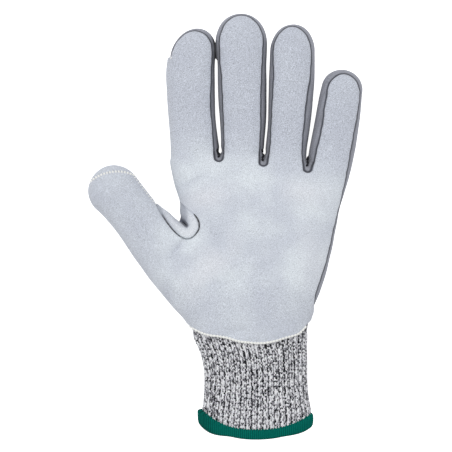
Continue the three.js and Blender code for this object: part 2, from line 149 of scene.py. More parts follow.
ROOTS = {"web": 10.0, "thumb": 14.0, "index": 14.0, "middle": 14.0, "ring": 14.0, "little": 12.0}

# %% [markdown]
# ## The form as a field
#
# Tubes that run into one another, as fingers do into a hand, are hard to join as grids: every crotch would
# need its own patch. A field does it with no patches. Each tube gives every point in space a number, which is
# negative inside and near to the distance outside, and two tubes are joined by the smaller of their numbers.
# Where the two are nearly equal, a little is taken off, which rounds the crotch between them.

# %% Smooth columns of a table
def cubic(t, a, b, from_a, to_b):
    """The cubic that goes from a to b as t goes from 0 to 1, with the given slopes at its ends."""
    return a + t * (from_a + t * (3 * (b - a) - 2 * from_a - to_b + t * (2 * (a - b) + from_a + to_b)))


def smooth_column(knots, values, steps=400):
    """A smooth line through a table's rows: between two rows the value follows a cubic, whose slope at each
    row is the slope between its neighbours. Returns fine knots and values for np.interp."""
    knots, values = np.asarray(knots, float), np.asarray(values, float)
    slopes = np.gradient(values, knots)
    at = np.linspace(knots[0], knots[-1], steps)
    i = np.clip(np.searchsorted(knots, at) - 1, 0, len(knots) - 2)
    length = knots[i + 1] - knots[i]
    t = (at - knots[i]) / length
    return at, cubic(t, values[i], values[i + 1], slopes[i] * length, slopes[i + 1] * length)


HAND_COLUMNS = [smooth_column(HAND[:, 0], column) for column in HAND[:, 1:].T]


def digit_frame(rows):
    """A digit's direction in plan, its side, and its columns against the distance along it."""
    rows = np.array(rows)
    root = rows[0, :2]
    along = (rows[-1, :2] - root) / np.linalg.norm(rows[-1, :2] - root)
    side = np.array((along[1], -along[0]))
    reach = (rows[:, :2] - root) @ along
    columns = [(rows[:, :2] - root) @ side, rows[:, 2], rows[:, 3], rows[:, 4]]
    return {
        "root": root,
        "along": along,
        "side": side,
        "length": reach[-1],
        "columns": [smooth_column(reach, column) for column in columns],
    }


FRAMES = {name: digit_frame(rows) for name, rows in DIGITS.items()}
print("digit lengths in mm:", {name: round(f["length"], 1) for name, f in FRAMES.items()})

# %% The number that one tube gives to a point
def tube_field(across, up, past, wide, deep, squareness):
    """A point's distance from the axis is r, and s is how many times the tube must grow to reach it: the
    root of (across/wide)^n + (up/deep)^n, with past, the share of the rounded end, squared and added.
    The field is r - r/s: nought on the tube, and near to the distance from it elsewhere."""
    cross = (np.abs(across) / wide) ** squareness + (np.abs(up) / deep) ** squareness
    grown = np.sqrt(cross ** (2 / squareness) + past[0] ** 2)
    reach = np.sqrt(across**2 + up**2 + past[1] ** 2)
    return reach - np.where(grown > 1e-3, reach / np.maximum(grown, 1e-3), deep)


def digit_at(name, x, y, z):
    """The digit's field at points, with the points' places along, across and above its axis."""
    f = FRAMES[name]
    dx, dy = x - f["root"][0], y - f["root"][1]
    along = dx * f["along"][0] + dy * f["along"][1]
    bend, wide, deep, height = (np.interp(along, *column) for column in f["columns"])
    beyond, before = np.maximum(along - f["length"], 0), np.maximum(-along, 0)
    across = dx * f["side"][0] + dy * f["side"][1] - bend - TIP_LEANS.get(name, 0) * beyond
    past = (beyond / TIPS[name] + before / ROOTS[name], beyond + before)
    up = z - height
    return tube_field(across, up, past, wide, deep, DIGIT_SQUARENESS), along, across, up, deep


def hand_at(x, y, z):
    """The hand's field: its rows lean towards the knuckles, so a point belongs to a row a little further
    on."""
    row = y
    for _ in range(2):
        left, right = (np.interp(row, *column) for column in HAND_COLUMNS[:2])
        skew = KNUCKLE_SLOPE * np.clip((row - SKEW_STARTS) / (HAND[-1, 0] - SKEW_STARTS), 0, 1)
        row = y - skew * (x - (left + right) / 2)
    left, right, deep, height = (np.interp(row, *column) for column in HAND_COLUMNS)
    across, wide = x - (left + right) / 2, (right - left) / 2
    beyond = np.maximum(row - HAND[-1, 0], 0)
    up = z - height
    field = tube_field(across, up, (beyond / HAND_END, beyond), wide, deep, HAND_SQUARENESS)
    return field, row, across, up, deep


# %% [markdown]
# ## Outlines and relief
#
# The leather is cut to an outline, seen from above, and the palm has low mounds, hollows and creases where
# it has been folded round a hand. Both are functions of x and y alone: the outline is a closed line that
# gives every point its distance to it, and the relief is a sum of soft bell-shaped mounds.

# %% Closed outlines and the distance to them
def closed_curve(points, steps=6):
    """A smooth closed line through points: cubics, with slopes from each point's two neighbours."""
    points = np.asarray(points, float)
    after = np.roll(points, -1, 0)
    slope = (after - np.roll(points, 1, 0)) / 2
    t = (np.arange(steps) / steps)[None, :, None]
    ends = (points, after, slope, np.roll(slope, -1, 0))
    return cubic(t, *(end[:, None] for end in ends)).reshape(-1, 2)


def inside_distance(x, y, outline):
    """Distance to a closed outline, positive inside it: that of the nearest segment, and inside where a line
    to the right crosses the outline an odd number of times."""
    nearest = np.full(np.broadcast(x, y).shape, np.inf)
    inside = np.zeros(nearest.shape, bool)
    for (ax, ay), (bx, by) in zip(outline, np.roll(outline, -1, 0)):
        ex, ey = bx - ax, by - ay
        t = np.clip(((x - ax) * ex + (y - ay) * ey) / max(ex * ex + ey * ey, 1e-12), 0, 1)
        nearest = np.minimum(nearest, (x - ax - t * ex) ** 2 + (y - ay - t * ey) ** 2)
        if ay != by:
            inside ^= ((ay > y) != (by > y)) & (x < ax + (y - ay) * ex / ey)
    return np.sqrt(nearest) * np.where(inside, 1, -1)


CROTCH_SEAM = [  # from the thumb's side round the bottom to the index finger's side
    *[(-42.6, 17.0), (-40.6, 10.6), (-36.8, 4.2), (-32.2, -1.9), (-27.7, -6.0), (-23.6, -7.7), (-20.0, -6.7)],
    *[(-17.0, -3.4), (-15.9, -0.4), (-16.6, 3.4), (-19.2, 7.2), (-22.6, 10.4), (-28.0, 15.4), (-36.0, 20.0)],
]
CROTCH_LOOP = closed_curve(CROTCH_SEAM)
print("crotch seam:", len(CROTCH_LOOP), "points")


def inside_crotch(x, y):
    return inside_distance(x, y, CROTCH_LOOP)


# %% Soft steps and bells
def eased(value, low, high):
    """From 0 at low to 1 at high, with no corner at either."""
    t = np.clip((value - low) / (high - low), 0, 1)
    return t * t * (3 - 2 * t)


def bell(dx, dy, wide, tall):
    """e to the minus (dx/wide)^2 + (dy/tall)^2: 1 in the middle, and nearly 0 at twice the reach."""
    return np.exp(-((dx / wide) ** 2) - (dy / tall) ** 2)


# %% Mounds, hollows and creases of the palm side
MOUNDS = [  # x, y, reach along, reach across, turn in degrees, height
    (-9.0, -24.0, 22.0, 9.0, 48.0, 1.9),  # ball of the thumb
    (-12.0, 17.0, 14.0, 6.5, 12.0, 1.8),  # below the index finger
    (47.0, 20.0, 14.0, 7.0, -8.0, 1.6),  # below the ring and little fingers
    (52.0, -22.0, 9.0, 22.0, 10.0, 0.9),  # heel of the hand
    (-6.0, -7.0, 11.0, 4.5, -58.0, -1.8),  # hollow beside the crotch seam
    (18.0, -8.0, 16.0, 14.0, 0.0, -0.4),  # hollow of the palm
    (-28.6, -13.4, 7.0, 2.4, 49.0, -2.0),  # crease below the crotch seam
    (-19.0, 26.5, 8.0, 2.2, 30.0, -1.3),  # crease below the index finger
    (15.4, 38.0, 7.5, 2.6, 70.0, -1.0),  # crease at the middle finger's root
    (17.4, 17.0, 8.0, 2.2, 82.0, -0.5),
    (30.0, 19.0, 9.0, 2.2, 95.0, -0.5),
    (0.0, -34.0, 16.0, 4.0, 12.0, -1.0),
    (5.0, -63.5, 7.0, 2.8, 10.0, -2.0),  # dip above the hem
    (-8.0, 40.0, 6.0, 2.4, 60.0, 0.5),
    (-47.0, -16.0, 3.4, 7.0, 38.0, -0.5),  # soft folds down the thumb's outer side
    (-33.0, -38.0, 3.6, 8.0, 38.0, -0.6),
    (-72.0, 9.0, 3.0, 6.0, 40.0, -0.6),
]


def mounds_at(x, y):
    """The sum of the table's bells, each one turned."""
    total = 0.0
    for mx, my, long, wide, turn, height in MOUNDS:
        c, s = math.cos(math.radians(turn)), math.sin(math.radians(turn))
        dx, dy = x - mx, y - my
        total = total + height * bell(dx * c + dy * s, dy * c - dx * s, long, wide)
    return total


def ripples_at(x, y):
    """Slack in the leather: three crossing waves, 14 to 17 mm long, at most 0.15 mm high together."""
    return 0.05 * (
        np.sin(x / 2.3 + 0.8 * np.sin(y / 6.1))
        + np.sin(y / 2.7 + 1.1 * np.sin(x / 5.3) + 1.0)
        + np.sin((x + 1.4 * y) / 3.9 + 2.0)
    )


ROLL_WIDTH = 5.2


def crotch_relief_at(x, y):
    """Inside the crotch seam the leather rises in a roll, as half a sine, then falls away as a wall; where
    thumb and palm meet there is a deep pocket."""
    inward = inside_crotch(x, y)
    share = np.clip(inward / ROLL_WIDTH, 0, 1)
    roll = 1.7 * np.sin(math.pi * share) * eased(y, 15, 5)
    wall = -1.5 * np.clip(inward - ROLL_WIDTH * 0.9, 0, 7)
    seam = -1.0 * np.exp(-((inward / 1.7) ** 2)) * eased(y, 11, 6)
    pocket = -14.0 * bell(x + 25.4, y - 0.6, 4.2, 3.2) * eased(inward, 5.4, 6.5)
    return roll + wall + seam + pocket


def gaps_at(x, y):
    """Bells that lengthen the two inner gaps between fingers downwards, to a narrow end, and that straighten
    the thumb gap's palm side: taken from it high up, added to it low down."""
    slits = 3.4 * bell(x + 3.5, y - 43.5, 1.1, 2.2) + 1.6 * bell(x - 22.9, y - 43.6, 1.1, 1.8)
    return slits + 1.1 * bell(x + 27.0, y - 16.0, 3.0, 4.5) - 1.1 * bell(x + 25.5, y - 2.5, 2.5, 2.6)


# %% The whole form
def joined(a, b, rounding):
    """The smaller of two fields; where they differ by less than the rounding, a smooth bridge."""
    near = np.maximum(rounding - np.abs(a - b), 0) / rounding
    return np.minimum(a, b) - near * near * rounding / 4


def form(x, y, z):
    """The knitted glove's outer face, as a field in mm."""
    web, thumb, fingers, *others = (digit_at(name, x, y, z)[0] for name in DIGITS)
    for finger in others:
        fingers = joined(fingers, finger, 0.25)
    whole = joined(joined(hand_at(x, y, z)[0], fingers, 2.6), joined(web, thumb, 4.5), 4.0)
    relief = mounds_at(x, y) + ripples_at(x, y)
    whole = whole - relief * eased(z, 7, 19) - crotch_relief_at(x, y) * eased(z, 12, 21) + gaps_at(x, y)
    return -joined(-whole, z, 2.0)


def form_and_slope(points):
    """The field at points and its slope, from the differences over a tenth of a millimetre."""
    step = 0.05
    sides = step * np.eye(3)
    slope = np.stack([form(*(points + d).T) - form(*(points - d).T) for d in sides], axis=1) / (2 * step)
    return form(*points.T), slope


def unit(directions):
    """Directions with the length 1."""
    return directions / np.maximum(np.linalg.norm(directions, axis=1), 1e-9)[:, None]


# %% [markdown]
# ## A skin for the field
#
# To turn a field into a mesh, space is cut into small cubes. Each cube that the surface passes through gets
# one vertex, at the mean of the places where the surface crosses the cube's edges, and each crossed edge
# gets one four-sided face between the four cubes round it. Whole arrays do it, with no loop over vertices,
# and a last step moves every vertex exactly onto the surface.

# %% Cubes to faces
def settle(points, level=0.0, steps=3):
    """Moves points onto the surface where the field is at a level: each step goes along the slope by the
    difference, divided by the slope squared. Returns the points and the outward directions."""
    for _ in range(steps):
        value, slope = form_and_slope(points)
        move = (value - level) / np.maximum((slope**2).sum(1), 0.05)
        points = points - np.clip(move, -1.0, 1.0)[:, None] * slope
    return points, unit(form_and_slope(points)[1])


def skin(low, high, cell):
    """Vertices and four-sided faces of the surface inside a box."""
    axes = [np.arange(a, b + cell, cell) for a, b in zip(low, high)]
    values = form(*np.meshgrid(*axes, indexing="ij", sparse=True))
    inside = values < 0
    corners = [(i, j, k) for i in (0, 1) for j in (0, 1) for k in (0, 1)]
    size = np.array(values.shape)
    windows = [tuple(slice(o, n - 1 + o) for o, n in zip(c, size)) for c in corners]
    full = sum(inside[w].astype(np.uint8) for w in windows)
    crossed = (full > 0) & (full < 8)
    numbers = np.full(crossed.shape, -1)
    numbers[crossed] = np.arange(crossed.sum())
    at_corner = np.stack([values[w][crossed] for w in windows], axis=1)
    total, count = np.zeros((len(at_corner), 3)), np.zeros(len(at_corner))
    for m, a in enumerate(corners):
        for n, b in enumerate(corners):
            if n > m and sum(abs(p - q) for p, q in zip(a, b)) == 1:
                va, vb = at_corner[:, m], at_corner[:, n]
                cut = (va < 0) != (vb < 0)
                t = np.where(cut, va / np.where(cut, va - vb, 1), 0)
                total += cut[:, None] * (np.array(a) + t[:, None] * (np.array(b) - np.array(a)))
                count += cut
    start = np.array([axis[0] for axis in axes])
    points = start + (np.argwhere(crossed) + total / count[:, None]) * cell
    faces = []
    for a in range(3):
        b, c = (a + 1) % 3, (a + 2) % 3
        first = np.delete(inside, -1, axis=a)
        at = np.argwhere(first != np.delete(inside, 0, axis=a))
        at = at[(at[:, b] > 0) & (at[:, c] > 0) & (at[:, b] < size[b] - 1) & (at[:, c] < size[c] - 1)]
        ring = []
        for db, dc in ((-1, -1), (0, -1), (0, 0), (-1, 0)):
            cube = at.copy()
            cube[:, b] += db
            cube[:, c] += dc
            ring.append(numbers[tuple(cube.T)])
        quads = np.stack(ring, axis=1)
        outward = first[tuple(at.T)]
        faces.append(np.where(outward[:, None], quads, quads[:, ::-1]))
    return points, np.concatenate(faces)


# %% Splitting a skin along a line, and closing it into a shell
def triangles_of(quads):
    """Each four-sided face as two triangles."""
    return np.concatenate([quads[:, [0, 1, 2]], quads[:, [0, 2, 3]]])


def split_at(columns, triangles, share, level):
    """Cuts every triangle that the line share = level crosses, so that new vertices lie on the line. The
    columns of a vertex, its share among them, are mixed in proportion along the crossed edges."""
    over = columns[:, share] > level
    t = over[triangles]
    count = t.sum(1)
    odd = (count == 1) | (count == 2)
    lone = np.where((count == 1)[:, None], t, ~t)[odd].argmax(1)
    turned = np.take_along_axis(triangles[odd], (lone[:, None] + np.arange(3)) % 3, axis=1)
    edges = np.sort(np.concatenate([turned[:, [0, 1]], turned[:, [0, 2]]]), axis=1)
    unique, back = np.unique(edges, axis=0, return_inverse=True)
    back = back.reshape(-1)
    a, b = columns[unique[:, 0]], columns[unique[:, 1]]
    w = ((level - a[:, share]) / (b[:, share] - a[:, share]))[:, None]
    added = a + w * (b - a)
    added[:, share] = level
    ab, ac = np.split(back + len(columns), 2)
    first, second, third = turned.T
    new = np.concatenate(
        [np.stack(s, axis=1) for s in ((first, ab, ac), (ab, second, third), (ab, third, ac))]
    )
    return np.concatenate([columns, added]), np.concatenate([triangles[~odd], new])


def kept_over(columns, triangles, share, level):
    """Keeps the triangles on the side where the share is over the level, and the vertices that they use."""
    middle = columns[triangles, share].mean(1)
    triangles = triangles[middle > level]
    used, back = np.unique(triangles, return_inverse=True)
    return columns[used], back.reshape(-1, 3)


def closed_shell(outer, inner, faces):
    """An outer skin and an inner one, turned round, that share the vertices of their rims."""
    edges = np.stack([faces, np.roll(faces, -1, 1)], -1).reshape(-1, 2)
    unique, count = np.unique(np.sort(edges, axis=1), axis=0, return_counts=True)
    rim = np.zeros(len(outer), bool)
    rim[unique[count == 1]] = True
    below = np.where(rim, np.arange(len(outer)), 0)
    below[~rim] = len(outer) + np.arange((~rim).sum())
    return np.concatenate([outer, inner[~rim]]), np.concatenate([faces, below[faces][:, ::-1]]), rim


def on_both(column, rim):
    """A number per vertex of the outer skin, for all the vertices of the shell."""
    return np.concatenate([column, column[~rim]])


# %% From arrays to a Blender object
def make_piece(name, points_mm, faces, material, nodes=(), uv=None, values=None):
    """A smooth mesh in metres that rides on the glove's one body. Values are numbers kept per vertex."""
    mesh = bpy.data.meshes.new(name)
    mesh.from_pydata((np.asarray(points_mm) / 1000).tolist(), [], np.asarray(faces).tolist())
    mesh.shade_smooth()
    if uv is not None:
        corner = np.zeros(len(mesh.loops), np.int32)
        mesh.loops.foreach_get("vertex_index", corner)
        layer = mesh.uv_layers.new(name="knit")
        layer.data.foreach_set("uv", np.asarray(uv, np.float32)[corner].ravel())
    for key, numbers in (values or {}).items():
        attribute = mesh.attributes.new(key, "FLOAT", "POINT")
        attribute.data.foreach_set("value", np.asarray(numbers, np.float32))
    piece = bpy.data.objects.new(name, mesh)
    bpy.context.scene.collection.objects.link(piece)
    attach(piece, "root")
    if nodes:
        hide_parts(*nodes)
    mesh.materials.append(material)
    count = sum(len(p.vertices) - 2 for p in mesh.polygons)
    print(f"{name}: {len(mesh.vertices)} vertices, {count} triangles")


# %% [markdown]
# ## Where on the glove a point is
#
# Three things need to know which digit a point belongs to: how far the leather wraps round each side, where
# the coating ends on the back, and which way the knitting runs. Each point takes the answer of the tube that
# it is nearest to, softly, so that nothing jumps where two tubes meet.

# %% Side coordinates, blended between the tubes
WRAP = {  # how far the leather goes below the axis, on the left and on the right
    "hand": (7.0, 0.5),
    "web": (5.0, 5.0),
    "thumb": (5.0, 1.0),
    "index": (5.0, 0.5),
    "middle": (0.5, 0.5),
    "ring": (0.5, 0.5),
    "little": (0.5, 0.5),
}


def place_on_glove(points):
    """For each point: its height over the leather's lower limit, its height over the axis as a share of the
    depth, how near it is to a fingertip, and its place in the knitting, across and along."""
    x, y, z = points.T
    weights, columns = [], []
    for name, (wrap_left, wrap_right) in WRAP.items():
        if name == "hand":
            field, along, across, up, deep = hand_at(x, y, z)
            origin, tip = np.zeros(2), np.full(len(x), -99.0)
            across = x
            side = across - np.interp(y, HAND[:, 0], HAND[:, 1:3].mean(1))
        else:
            field, along, across, up, deep = digit_at(name, x, y, z)
            origin, tip, side = FRAMES[name]["root"], along - FRAMES[name]["length"], across
        wrap = np.where(side < 0, wrap_left, wrap_right)
        climb = np.sign(side) * np.maximum(up + 0.6 * deep, 0)
        weights.append(np.exp(-np.clip(field, -20, 20) / 1.2))
        columns.append((up + wrap, up / deep, tip, across + origin[0] + climb, along + origin[1]))
    weights = np.array(weights) / np.sum(weights, axis=0)
    return np.einsum("in,icn->cn", weights, np.array(columns))


# %% [markdown]
# ## The leather's outline
#
# The palm leather is one piece: four finger fronts with round tips, and the notches between them are small
# round cuts. On the index finger the leather goes on round the outer side, so its outline there is far
# outside the glove.

# %% The palm leather's cutting line
INDEX_FRONT = [  # from its corner on the outer side, over the tip and down the inner edge
    *[(-34.6, 96.0), (-33.2, 101.5), (-31.3, 106.8), (-28.3, 111.7), (-24.6, 115.0), (-20.1, 116.7)],
    *[(-16.3, 116.4), (-12.2, 114.2), (-9.4, 110.2), (-8.4, 106.0), (-8.5, 100.8), (-8.8, 93.3)],
    *[(-9.1, 83.0), (-9.4, 72.3), (-8.8, 65.5), (-8.2, 58.0), (-7.7, 50.5)],
]
FINGER_FRONTS = [  # the tip's centre and half axes, then y, left and right edges going down the finger
    (
        (9.2, 110.0, 13.0, 16.2),
        [(99, -3.6, 21.6), (90, -2.7, 21.2), (75, -2.0, 20.7), (60, -1.4, 20.7), (50, -1.2, 20.2)],
    ),
    (
        (39.6, 103.0, 11.4, 16.4),
        [(90, 28.6, 50.4), (76, 27.8, 48.2), (60, 27.0, 46.6), (48, 26.4, 45.5)],
    ),
    ((70.4, 79.0, 9.8, 12.0), [(70, 59.0, 79.2), (60, 57.8, 77.4), (46, 54.6, 74.8), (30, None, 72.0)]),
]
NOTCHES = [(-4.3, 41.5, 3.0), (22.4, 38.3, 2.8), (49.0, 34.9, 3.0)]  # centre and radius
PALM_EDGE = [(68.4, 14), (64.8, 0), (61.2, -16), (58.6, -25.5), (55.2, -35.5), (53.1, -43.5), (53.0, -50)]
LEATHER_HEM = [  # from the palm's outer edge to the thumb's side
    *[(53.0, -54.5), (48.0, -59.6), (43.4, -64.2), (36.0, -66.4), (29.0, -68.6), (22.0, -69.8)],
    *[(13.6, -69.4), (7.0, -68.6), (2.0, -67.0), (-4.0, -65.8), (-12.0, -64.6), (-18.8, -61.6)],
    *[(-23.4, -59.0), (-36.0, -50.0)],
]


def palm_outline():
    """Over the index finger's tip, then for each finger round the notch, up its left edge, round its tip and
    down its right edge, then down the palm's edge and along the hem."""
    points = list(INDEX_FRONT)
    for (nx, ny, radius), ((x, y, wide, long), rows) in zip(NOTCHES, FINGER_FRONTS):
        for turn in np.radians((180, 225, 270, 315, 360)):
            points.append((nx + radius * math.cos(turn), ny + radius * math.sin(turn)))
        points += [(left, row) for row, left, _ in reversed(rows) if left is not None]
        for turn in np.radians(np.arange(180, -1, -15)):
            points.append((x + wide * math.cos(turn), y + long * math.sin(turn)))
        points += [(right, row) for row, _, right in rows]
    points += PALM_EDGE + LEATHER_HEM
    smooth = closed_curve(points, 5)[5 : (len(points) - 1) * 5]
    outside = np.array([(-36, -50), (-110, -50), (-110, 101.5)])
    print("palm outline:", len(smooth), "points")
    return np.concatenate([smooth, outside])


PALM_OUTLINE = palm_outline()
THUMB_AXIS = np.array((-0.62, 0.785)) / np.hypot(0.62, 0.785)
THUMB_ROOT = np.array((-47.5, -7.0))
SEAM_CENTRE, SEAM_RADIUS, SEAM_START = np.array((-65.0, 8.0)), 24.4, 24.0
THUMB_BACK_END = -14.0


def along_thumb(x, y):
    return (x - THUMB_ROOT[0]) * THUMB_AXIS[0] + (y - THUMB_ROOT[1]) * THUMB_AXIS[1]


def before_tip_seam(x, y):
    """Positive on the thumb's front leather, short of the stitched arc over the tip, and off the thumb."""
    arc = SEAM_RADIUS - np.hypot(x - SEAM_CENTRE[0], y - SEAM_CENTRE[1])
    return np.maximum.reduce([SEAM_START - along_thumb(x, y), arc, x + 44.0])


TIGHT = 2.4  # over the thumb's tip the leather's edges turn in this many times more sharply
SEEN = 1.0  # height over the knitting at which the leather's outlines are followed


def flush_at(x, y):
    """1 high up the crotch seam's right arm, where the two leathers meet with no groove, 0 elsewhere."""
    near = np.abs(inside_crotch(x, y))
    return eased(y, 6, 9.5) * eased(x, -31, -28) * eased(-near, -2.5, -1.5)


def crotch_gap_at(x, y):
    """How far each leather stops short of the crotch seam, in mm."""
    return 0.1 - 0.09 * flush_at(x, y)


def palm_cut(points):
    """The least of the distances to the outline, the wrap line, the thumb's seam and the crotch seam."""
    x, y, _ = points.T
    wavy = 0.1 * np.sin(y / 2.1 + x / 5.0) + 0.08 * np.sin(y / 0.9)
    outline = inside_distance(x, y, PALM_OUTLINE) + wavy
    crotch = -inside_crotch(x, y) - crotch_gap_at(x, y)
    over_wrap = place_on_glove(points)[0]
    return np.minimum.reduce([outline, over_wrap, crotch, TIGHT * (before_tip_seam(x, y) - 0.04)])


# %% [markdown]
# ## Node groups
#
# Three effects are used by more than one finish, so each is a node group with named inputs: the fine grain
# of a napped or coated surface, the broad cloudiness of leather, and the knitting, whose stitches are small
# slanted legs in columns, each with its own shade of heather.

# %% Helpers for nodes
def linear(red, green, blue):
    """A screen colour of 0 to 255 as the linear colour that nodes use."""
    c = np.array((red, green, blue)) / 255
    return (*np.where(c <= 0.04045, c / 12.92, ((c + 0.055) / 1.055) ** 2.4), 1.0)


class Nodes:
    """A short way to add nodes to a tree and join them."""

    def __init__(self, tree):
        self.tree = tree

    def add(self, kind, inputs=(), **settings):
        node = self.tree.nodes.new(kind)
        for key, value in settings.items():
            setattr(node, key, value)
        for key, value in dict(inputs).items():
            socket = node.inputs[key]
            if isinstance(value, bpy.types.NodeSocket):
                self.tree.links.new(value, socket)
            else:
                socket.default_value = value
        return node

    def math(self, operation, a, b=0.0, c=0.0):
        return self.add("ShaderNodeMath", {0: a, 1: b, 2: c}, operation=operation).outputs[0]

    def mix(self, share, a, b, blend="MIX"):
        inputs = {0: share, 6: a, 7: b}
        return self.add("ShaderNodeMix", inputs, data_type="RGBA", blend_type=blend).outputs[2]

    def times(self, colour, factor):
        grey = self.add("ShaderNodeCombineColor", {0: factor, 1: factor, 2: factor}).outputs[0]
        return self.mix(1.0, colour, grey, "MULTIPLY")

    def attribute(self, name):
        return self.add("ShaderNodeAttribute", attribute_name=name).outputs["Fac"]

    def group(self, tree, inputs):
        return self.add("ShaderNodeGroup", inputs, node_tree=tree).outputs

    def knitting(self, inputs=()):
        place = self.add("ShaderNodeUVMap", uv_map="knit").outputs[0]
        return self.group(knit_group, {"Place": place, **dict(inputs)})

    def range(self, value, low, high, to_low=0.0, to_high=1.0):
        names = ("Value", "From Min", "From Max", "To Min", "To Max")
        inputs = dict(zip(names, (value, low, high, to_low, to_high)))
        return self.add("ShaderNodeMapRange", inputs).outputs[0]


def new_group(name, inputs, outputs):
    """A node group with its sockets: (name, kind, default) for each input, (name, kind) for each output."""
    tree = bpy.data.node_groups.new(name, "ShaderNodeTree")
    for label, kind, default in inputs:
        socket = tree.interface.new_socket(label, in_out="INPUT", socket_type=f"NodeSocket{kind}")
        if default is not None:
            socket.default_value = default
    for label, kind in outputs:
        tree.interface.new_socket(label, in_out="OUTPUT", socket_type=f"NodeSocket{kind}")
    nodes = Nodes(tree)
    return tree, nodes, nodes.add("NodeGroupInput").outputs, nodes.add("NodeGroupOutput").inputs


# %% Group: fine grain
grain_group, g, given, out = new_group(
    "fine_grain",
    [("Place", "Vector", None), ("Size in mm", "Float", 0.6), ("Roughness", "Float", 0.7)],
    [("Grain", "Float"), ("Height", "Float")],
)
scale = g.math("DIVIDE", 1000.0, given["Size in mm"])
fine = g.add(
    "ShaderNodeTexNoise",
    {"Vector": given["Place"], "Scale": scale, "Detail": 3.0, "Roughness": given["Roughness"]},
)
g.tree.links.new(g.range(fine.outputs[0], 0.3, 0.7, -1.0, 1.0), out["Grain"])
g.tree.links.new(fine.outputs[0], out["Height"])

# %% Group: broad clouds
cloud_group, g, given, out = new_group(
    "broad_clouds",
    [("Place", "Vector", None), ("Size in mm", "Float", 14.0)],
    [("Cloud", "Float")],
)
scale = g.math("DIVIDE", 1000.0, given["Size in mm"])
broad = g.add("ShaderNodeTexNoise", {"Vector": given["Place"], "Scale": scale, "Detail": 2.0})
g.tree.links.new(g.range(broad.outputs[0], 0.3, 0.7, -1.0, 1.0), out["Cloud"])

# %% Group: knitting
knit_group, g, given, out = new_group(
    "knitting",
    [
        ("Place", "Vector", None),
        ("Stitch width", "Float", 1.55),
        ("Stitch height", "Float", 1.15),
        ("Darkness", "Float", 0.0),
    ],
    [("Color", "Color"), ("Height", "Float")],
)
place = g.add("ShaderNodeSeparateXYZ", {0: given["Place"]}).outputs
column = g.math("DIVIDE", place[0], given["Stitch width"])
row = g.math("DIVIDE", place[1], given["Stitch height"])
side = g.math("ABSOLUTE", g.math("SUBTRACT", g.math("FRACT", column), 0.5))
slant = g.math("MULTIPLY_ADD", side, 1.1, row)
from_leg = g.math("MULTIPLY", g.math("ABSOLUTE", g.math("SUBTRACT", side, 0.25)), 4.0)
leg = g.math("SUBTRACT", 1.0, g.math("POWER", from_leg, 2.0))
bulge = g.math("SINE", g.math("MULTIPLY", g.math("FRACT", slant), math.pi))
height = g.math("MULTIPLY", leg, g.math("MULTIPLY_ADD", bulge, 0.6, 0.4))
leg_number = g.math("FLOOR", g.math("MULTIPLY", column, 2.0))
cell = g.add("ShaderNodeCombineXYZ", {0: leg_number, 1: g.math("FLOOR", slant), 2: 3.0})
shade = g.add("ShaderNodeTexWhiteNoise", {"Vector": cell.outputs[0]}, noise_dimensions="3D").outputs[0]
stretched = g.add(
    "ShaderNodeCombineXYZ",
    {0: g.math("MULTIPLY", place[0], 4.1), 1: g.math("MULTIPLY", place[1], 2.2), 2: 0.0},
)
twist = g.add("ShaderNodeTexNoise", {"Vector": stretched.outputs[0], "Scale": 1.0, "Detail": 2.0}).outputs[0]
mixed = g.math("MULTIPLY_ADD", shade, 1.0, g.math("MULTIPLY_ADD", twist, 2.65, -1.3))
mixed = g.math("SUBTRACT", mixed, g.range(side, 0.34, 0.5, -0.04, 0.4))
# The group's last input lowers the heather's tone; the cuff feeds it painted shade for its rib valleys.
mixed = g.math("SUBTRACT", mixed, given["Darkness"])
ramp = g.add("ShaderNodeValToRGB", {0: mixed})
stops = [
    (0.3, (18, 18, 24)),
    (0.39, (86, 86, 96)),
    (0.46, (190, 189, 200)),
    (0.56, (236, 235, 242)),
    (0.8, (254, 254, 255)),
]
while len(ramp.color_ramp.elements) < len(stops):
    ramp.color_ramp.elements.new(0.5)
for element, (position, colour) in zip(ramp.color_ramp.elements, stops):
    element.position, element.color = position, linear(*colour)
g.tree.links.new(ramp.outputs[0], out["Color"])
g.tree.links.new(height, out["Height"])
print("node groups:", [tree.name for tree in bpy.data.node_groups])

# %% [markdown]
# ## Finishes
#
# Suede is leather with its flesh side raised into a short nap: quite matt, faintly blue, clouded where the
# nap lies another way, and a little darker along a cut edge, partly its own colour and partly painted shade.
# Painted light and shade also follow the palm's mounds and creases, the roll at the crotch and its seam. The
# coating is a matt film that the knitting just shows through, painted lighter at grazing angles and darker
# beside the leather and in the finger crotches. Colours are given as they look on a screen and turned into
# linear ones.

# %% Make a material with its shader and its place
def new_material(name, roughness, sheen=0.0):
    """A material, a helper for its nodes, its shader, and the place in the object's own coordinates."""
    material = bpy.data.materials.new(name)
    material.use_nodes = True
    nodes = Nodes(material.node_tree)
    shader = material.node_tree.nodes["Principled BSDF"]
    shader.inputs["Roughness"].default_value = roughness
    shader.inputs["Specular IOR Level"].default_value = 0.25
    shader.inputs["Sheen Weight"].default_value = sheen
    shader.inputs["Sheen Roughness"].default_value = 0.6
    return material, nodes, shader, nodes.add("ShaderNodeTexCoord").outputs["Object"]


def finish(nodes, shader, colour, height, depth_mm, strength):
    """Joins a colour, and a height as bump of a given depth, to the shader."""
    nodes.tree.links.new(colour, shader.inputs["Base Color"])
    bump = nodes.add("ShaderNodeBump", {"Height": height, "Strength": strength, "Distance": depth_mm / 1000})
    nodes.tree.links.new(bump.outputs[0], shader.inputs["Normal"])


